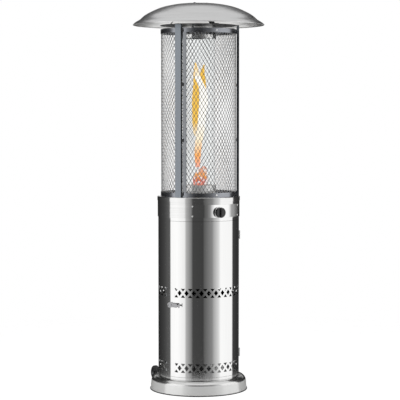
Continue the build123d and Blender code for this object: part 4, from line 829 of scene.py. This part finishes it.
def clear_glass(name, colour, roughness):
    """Clear glass with a faint film in broad patches, and slow waves in its face."""
    values = {"Base_Color": (*colour, 1.0), "IOR": glass_ior, "Transmission_Weight": 1.0}
    material, tree, shader = shaded(name, **values)
    spot = object_spot(tree)
    film = noise(tree, spot, 7.0, 5.0, 0.6)
    waves = noise(tree, spot, 12.0, 1.0)
    tree.links.new(math_node(tree, "MULTIPLY_ADD", film, 0.05, roughness - 0.02), shader.inputs["Roughness"])
    tree.links.new(relief_normal(tree, waves, 0.4, 0.0004), shader.inputs["Normal"])
    return material


tube_glass = clear_glass("heat-proof glass", (0.97, 0.98, 0.98), 0.02)
glass_inner = glass_high.x - glass_wall
glass_middle = (glass_low.z + glass_high.z) / 2
glass_corners = [
    (glass_high.x, glass_middle), (glass_high.x, glass_high.z), (glass_inner, glass_high.z),
    (glass_inner, glass_low.z), (glass_high.x, glass_low.z), (glass_high.x, glass_middle - glass_seam),
]
glass_section = rounded_path(glass_corners, [glass_edge] * 4, steps=6)
glass_piece = turned_piece("glass_cylinder", glass_section, sharp=60.0, turns=glass_turns)
dress(glass_piece, "frame", tube_glass, "glass", "glass_tube")
collar_steel = steel("collar steel", (0.74, 0.74, 0.735), 0.08, 0.12, "round", smudge=0.05)
pale_silicone = moulded("pale silicone", (0.6, 0.59, 0.55), 0.55)
cup_steel = steel("cup steel", (0.74, 0.74, 0.735), 0.12, 0.2, "upright", smudge=0.1)
# Painted light: the cup's upright faces are paler and less of a mirror than its top.
paint_facing_light(cup_steel, (0.9, 0.9, 0.89), 0.6, facing_over(cup_steel.node_tree, 0.6, 0.3))
finish_nodes(collar_steel, "upper_glass_collar")
finish_nodes(cup_steel, "lower_glass_cup")
finish_nodes(pale_silicone, "glass_gaskets")

# Flame. A white tongue of burning gas leans across two yellow ones in the glass tube, over a low clump of
# red, pink and orange flecks at the burner. They show the heater lit, as in the photograph.
flame_sides, flame_steps = 16, 60
flame_thin = 0.55


def cubic(part, low, high, low_slope, high_slope):
    """A cubic from one value to the next, with the given slopes at its ends, part of the way along."""
    return (
        low * (1 + 2 * part) * (1 - part) ** 2 + low_slope * part * (1 - part) ** 2
        + high * part**2 * (3 - 2 * part) + high_slope * part**2 * (part - 1)
    )


def flame_tongue(name, heights, aside, depth, widths):
    """A tongue: ellipses, wide across the camera's view and thinner along it, whose centres and widths run
    smoothly through the given values from the lowest height to the highest."""
    share = np.linspace(0, 1, len(heights))
    fine = np.linspace(0, 1, flame_steps)
    place = np.clip(np.searchsorted(share, fine, side="right") - 1, 0, len(share) - 2)
    gap = share[place + 1] - share[place]
    part = (fine - share[place]) / gap
    values = []
    for row in (heights, aside, depth, widths):
        slopes = np.gradient(row, share)
        ends = np.take(row, place), np.take(row, place + 1)
        values.append(cubic(part, *ends, slopes[place] * gap, slopes[place + 1] * gap)[:, None])
    height, across, along, width = values
    turn = np.radians(full_turn(flame_sides))
    side = across + width * np.cos(turn)
    deep = along + width * flame_thin * np.sin(turn)
    rings = round_axis(camera_bearing + 90, side, height) + round_axis(camera_bearing + 180, deep)
    return closed_tube(name, rings, sharp=80.0)


def burning(name, colours, strength, low, high, softness, patches, solid, pitch):
    """Burning gas: colours from the lowest height to the highest, bright in the middle and clear at the edge.
    Its noise breaks it up: more the larger patches is, and less the larger solid is."""
    material, tree = bare_material(name)
    spot = object_spot(tree)
    wisps = noise(tree, scaled(tree, spot, pitch), 1.0, 3.0)
    shift = patches * 0.1
    lowered = math_node(tree, "SUBTRACT", ranged(tree, separate(tree, spot)["Z"], low, high), shift / 2)
    colour = ramp(tree, math_node(tree, "MULTIPLY_ADD", wisps, shift, lowered), colours)
    facing = add_node(tree, "LayerWeight", {"Blend": softness}).outputs["Facing"]
    body = math_node(tree, "SUBTRACT", 1.0, facing)
    broken = math_node(tree, "MULTIPLY_ADD", wisps, patches, solid - patches / 2)
    cover = add_node(tree, "Clamp", {"Value": math_node(tree, "MULTIPLY", body, broken)}).outputs[0]
    light = add_node(tree, "Emission", {"Color": colour, "Strength": strength}).outputs[0]
    clear = add_node(tree, "BsdfTransparent").outputs[0]
    mixed = add_node(tree, "MixShader", {"Fac": cover, 1: clear, 2: light}).outputs[0]
    add_node(tree, "OutputMaterial", {"Surface": mixed})
    material.cycles.emission_sampling = "NONE"
    return material


flame_red, flame_pink, flame_orange = (0.75, 0.14, 0.1), (0.95, 0.42, 0.3), (1.0, 0.42, 0.1)
flame_yellow, flame_cream, flame_white = (1.0, 0.6, 0.09), (1.0, 0.84, 0.6), (1.0, 0.97, 0.9)
core_stops = [
    (0.0, flame_pink), (0.12, flame_orange), (0.26, flame_cream), (0.42, flame_white), (0.86, flame_white),
    (1.0, flame_yellow),
]
side_stops = [(0.0, flame_cream), (0.2, flame_yellow), (1.0, flame_yellow)]
foot_stops = [(0.0, flame_pink), (0.3, flame_red), (0.6, flame_orange), (1.0, flame_pink)]
tall_wisps, small_flecks = (60.0, 60.0, 12.0), (90.0, 90.0, 55.0)
tongues = {
    ("flame_core", "flame, inner", 1.15, 0.3, 1.2, 1.0, tall_wisps): (
        core_stops,
        [1.04, 1.105, 1.166, 1.212, 1.282, 1.34, 1.398, 1.453, 1.485, 1.525],
        [-0.004, -0.004, 0.002, 0.011, 0.016, 0.023, 0.02, -0.003, -0.009, -0.015],
        [-0.01, -0.015, -0.02, -0.02, -0.02, -0.02, -0.02, -0.02, -0.01, 0.0],
        [0.01, 0.015, 0.017, 0.017, 0.018, 0.02, 0.016, 0.014, 0.01, 0.002],
    ),
    ("flame_left", "flame, left", 1.0, 0.35, 1.2, 1.0, tall_wisps): (
        side_stops,
        [1.185, 1.22, 1.282, 1.361, 1.421, 1.47, 1.52],
        [-0.016, -0.017, -0.015, -0.014, -0.012, -0.014, -0.015],
        [0.01, 0.015, 0.0, -0.01, 0.0, 0.01, 0.01],
        [0.004, 0.011, 0.015, 0.017, 0.013, 0.01, 0.002],
    ),
    ("flame_right", "flame, right", 1.0, 0.35, 1.2, 1.0, tall_wisps): (
        side_stops,
        [1.33, 1.38, 1.417, 1.453, 1.4815, 1.515],
        [0.026, 0.024, 0.021, 0.019, 0.018, 0.026],
        [0.01, 0.01, 0.01, 0.01, 0.01, 0.01],
        [0.003, 0.012, 0.014, 0.013, 0.01, 0.002],
    ),
    ("flame_foot", "flame, foot", 0.9, 0.35, 9.0, 0.35, small_flecks): (
        foot_stops,
        [0.955, 0.975, 0.995, 1.015, 1.03, 1.045],
        [0.006, 0.006, 0.008, 0.012, 0.02, 0.025],
        [0.0, 0.0, 0.005, 0.005, 0.0, 0.0],
        [0.03, 0.035, 0.033, 0.026, 0.02, 0.006],
    ),
}
for (piece_name, fire_name, strength, *broken_up), (stops, heights, *rows) in tongues.items():
    tongue = flame_tongue(piece_name, heights, *rows)
    fire = burning(fire_name, stops, strength, heights[0], heights[-1], *broken_up)
    dress(tongue, "frame", fire, None)

# Guard. A tube of expanded stainless sheet: slit strands that lean in the sheet and meet at bonds, 64 round
# the tube, dark grey outside, with painted light on the faces that look inwards: they are paler and less of a
# mirror.
guard_low, guard_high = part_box("guard_mesh")
guard_columns, guard_rows = 64, 52
guard_margin = 0.006
guard_inset = 0.0013
strand_width = 0.0017
strand_thickness = 0.0009
strand_lean = 24.0
bond_swell = 0.55
bond_overlap = 0.06
facing_in = (0.1, -0.3)


def expanded_sheet(name, radius, low, high, columns, rows):
    """Strands between staggered bonds. Each is a square-cut bar, leaning about its own line, that swells
    towards the bonds at both ends."""
    step = 360.0 / columns
    rise = (high - low) / rows
    row = np.arange(rows)[:, None, None]
    column = np.arange(columns)[None, :, None]
    side = np.array([-1, 1])[None, None, :]
    start = (column + (row % 2) / 2) * step + 0 * side
    along = np.array([-bond_overlap, 0.0, 0.25, 0.5, 0.75, 1.0, 1.0 + bond_overlap])
    bearing = start[..., None] + side[..., None] * along * step / 2
    height = low + (row[..., None] + along + 0 * bearing) * rise
    swell = 1 + bond_swell * np.abs(2 * np.clip(along, 0, 1) - 1) ** 3
    out, sideways, upwards = round_axis(bearing, 1.0), round_axis(bearing + 90, 1.0), np.array([0, 0, 1.0])
    run = radius * np.radians(step) / 2
    length = np.hypot(run, rise)
    lies = side[..., None, None] * rise / length
    cross = -sideways * lies + upwards * run / length * (1 + 0 * lies)
    lean = np.radians(strand_lean)
    flat = cross * np.cos(lean) + out * np.sin(lean)
    thick = out * np.cos(lean) - cross * np.sin(lean)
    centre = out * radius + upwards * height[..., None]
    half_width = (strand_width / 2 * swell)[:, None]
    corners = [
        centre + flat * half_width * a + thick * strand_thickness / 2 * b
        for a, b in ((-1, -1), (1, -1), (1, 1), (-1, 1))
    ]
    sections = len(along)
    caps = np.array([[0, 1, 2, 3], [3, 2, 1, 0]]) + np.array([[0], [(sections - 1) * 4]])
    strand = np.concatenate([grid_faces(sections, 4, True), caps])
    faces = strand[None] + (np.arange(rows * columns * 2) * sections * 4)[:, None, None]
    made = mesh_object(name, np.stack(corners, axis=-2), faces.reshape(-1, 4))
    made.data.polygons.foreach_set("use_smooth", np.zeros(len(made.data.polygons), bool))
    return made


def facing_axis(tree):
    """Nought to one as a face turns towards the axis: the normal's part along the line from the axis."""
    spot = add_node(tree, "TexCoord").outputs
    out = vector_node(tree, "NORMALIZE", scaled(tree, spot["Object"], (1.0, 1.0, 0.0)))
    return ranged(tree, vector_node(tree, "DOT_PRODUCT", out, spot["Normal"]), *facing_in)


guard_steel = steel("guard steel", (0.2, 0.205, 0.215), 0.32, 0.25, "upright", smudge=0.15)
# Painted light: faces that turn towards the axis are pale and less of a mirror.
paint_facing_light(guard_steel, (0.8, 0.8, 0.79), 0.85, facing_axis(guard_steel.node_tree))
guard_box = guard_high.x - guard_inset, guard_low.z + guard_margin, guard_high.z - guard_margin
guard_piece = expanded_sheet("guard_expanded_sheet", *guard_box, guard_columns, guard_rows)
dress(guard_piece, "frame", guard_steel, "guard_steel", "guard_mesh")

# Guard bands, seam strip and clips. Two rings of polished strip close the sheet's ends, a flat strip covers
# its seam, and black clips hold it against the posts.
strip_steel = steel("strip steel", (0.26, 0.27, 0.285), 0.26, 0.3, "upright", smudge=0.08)
band_steel = steel("band steel", (0.3, 0.31, 0.335), 0.24, 0.3, "round", smudge=0.08)
finish_nodes(band_steel, "guard_bands")
finish_nodes(strip_steel, "guard_seam_strip")
finish_nodes(black_paint, "guard_clips")

# Posts, ring plate and screws. Three bent channels carry a black ring plate, held by pan-head screws.
post_steel = steel("post steel", (0.215, 0.235, 0.26), 0.28, 0.3, "upright", smudge=0.06)
finish_nodes(post_steel, "front_left_post", "front_right_post", "rear_post")
finish_nodes(black_paint, "top_ring_plate")
finish_nodes(screw_steel, "frame_screws")

# Hat. A spun dome of brushed stainless with a narrow rolled hem, its grain in rings round the crown, and
# painted
# light below: its downward faces are paler and less of a mirror. It stands on a black spider and is held by
# three domed bolts of dulled zinc.
hat_low, hat_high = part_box("hat_shell")
hat_sheet = 0.0012
hat_hem = 0.003
hem_rounds = (0.0018, 0.00135)
hat_radius_shares = np.array([0.978, 0.894, 0.824, 0.716, 0.570, 0.400, 0.239, 0.0])
hat_height_shares = np.array([0.085, 0.250, 0.434, 0.617, 0.801, 0.922, 0.983, 1.0])
hat_steps = 8


def smooth_through(points, first_way, last_way, steps):
    """A curve through points. Each run is a cubic whose slopes are half the chord between its neighbours, and
    the given directions at the ends."""
    chords = np.linalg.norm(np.diff(points, axis=0), axis=1)
    slopes = np.empty_like(points)
    slopes[1:-1] = (points[2:] - points[:-2]) / (chords[1:] + chords[:-1])[:, None]
    slopes[0] = np.asarray(first_way) / np.linalg.norm(first_way)
    slopes[-1] = np.asarray(last_way) / np.linalg.norm(last_way)
    part = np.linspace(0, 1, steps, endpoint=False)[None, :, None]
    low_slope = slopes[:-1, None] * chords[:, None, None]
    high_slope = slopes[1:, None] * chords[:, None, None]
    curve = cubic(part, points[:-1, None], points[1:, None], low_slope, high_slope)
    return np.concatenate([curve.reshape(-1, 2), points[-1:]])


hat_dome_height = hat_high.z - hat_low.z
hat_heights = hat_low.z + hat_dome_height * hat_height_shares
hat_points = np.stack([hat_high.x * hat_radius_shares, hat_heights], axis=-1)
hat_curve = smooth_through(hat_points, (-1, 1), (-1, 0), hat_steps)[::-1]
hem_corners = [(hat_high.x, hat_low.z + hat_hem), (hat_high.x, hat_low.z), (hat_high.x - hat_hem, hat_low.z)]
hat_edge = rounded_path([hat_curve[-1], *hem_corners], hem_rounds, steps=8)
hat_path = np.concatenate([hat_curve[:-1], hat_edge])
hat_skin = turned_piece("hat_skin", sheet_section(hat_path, hat_sheet), sharp=50.0)
hat_steel = steel("brushed steel, grain in rings", (0.6, 0.6, 0.6), 0.3, 0.45, "rings", smudge=0.05)
# Painted light: faces that look downwards are paler and less of a mirror.
paint_facing_light(hat_steel, (0.9, 0.9, 0.89), 0.35, facing_over(hat_steel.node_tree, 0.0, -0.2))
dress(hat_skin, "frame", hat_steel, "brushed_steel", "hat_shell")
dulled_zinc = coarse("dulled zinc", (0.16, 0.16, 0.165), 1.0, 0.45, 260.0, 0.0002)
finish_nodes(black_paint, "hat_spider")
finish_nodes(dulled_zinc, "hat_bolts")
finish_nodes(zinc_steel, "hat_nuts")
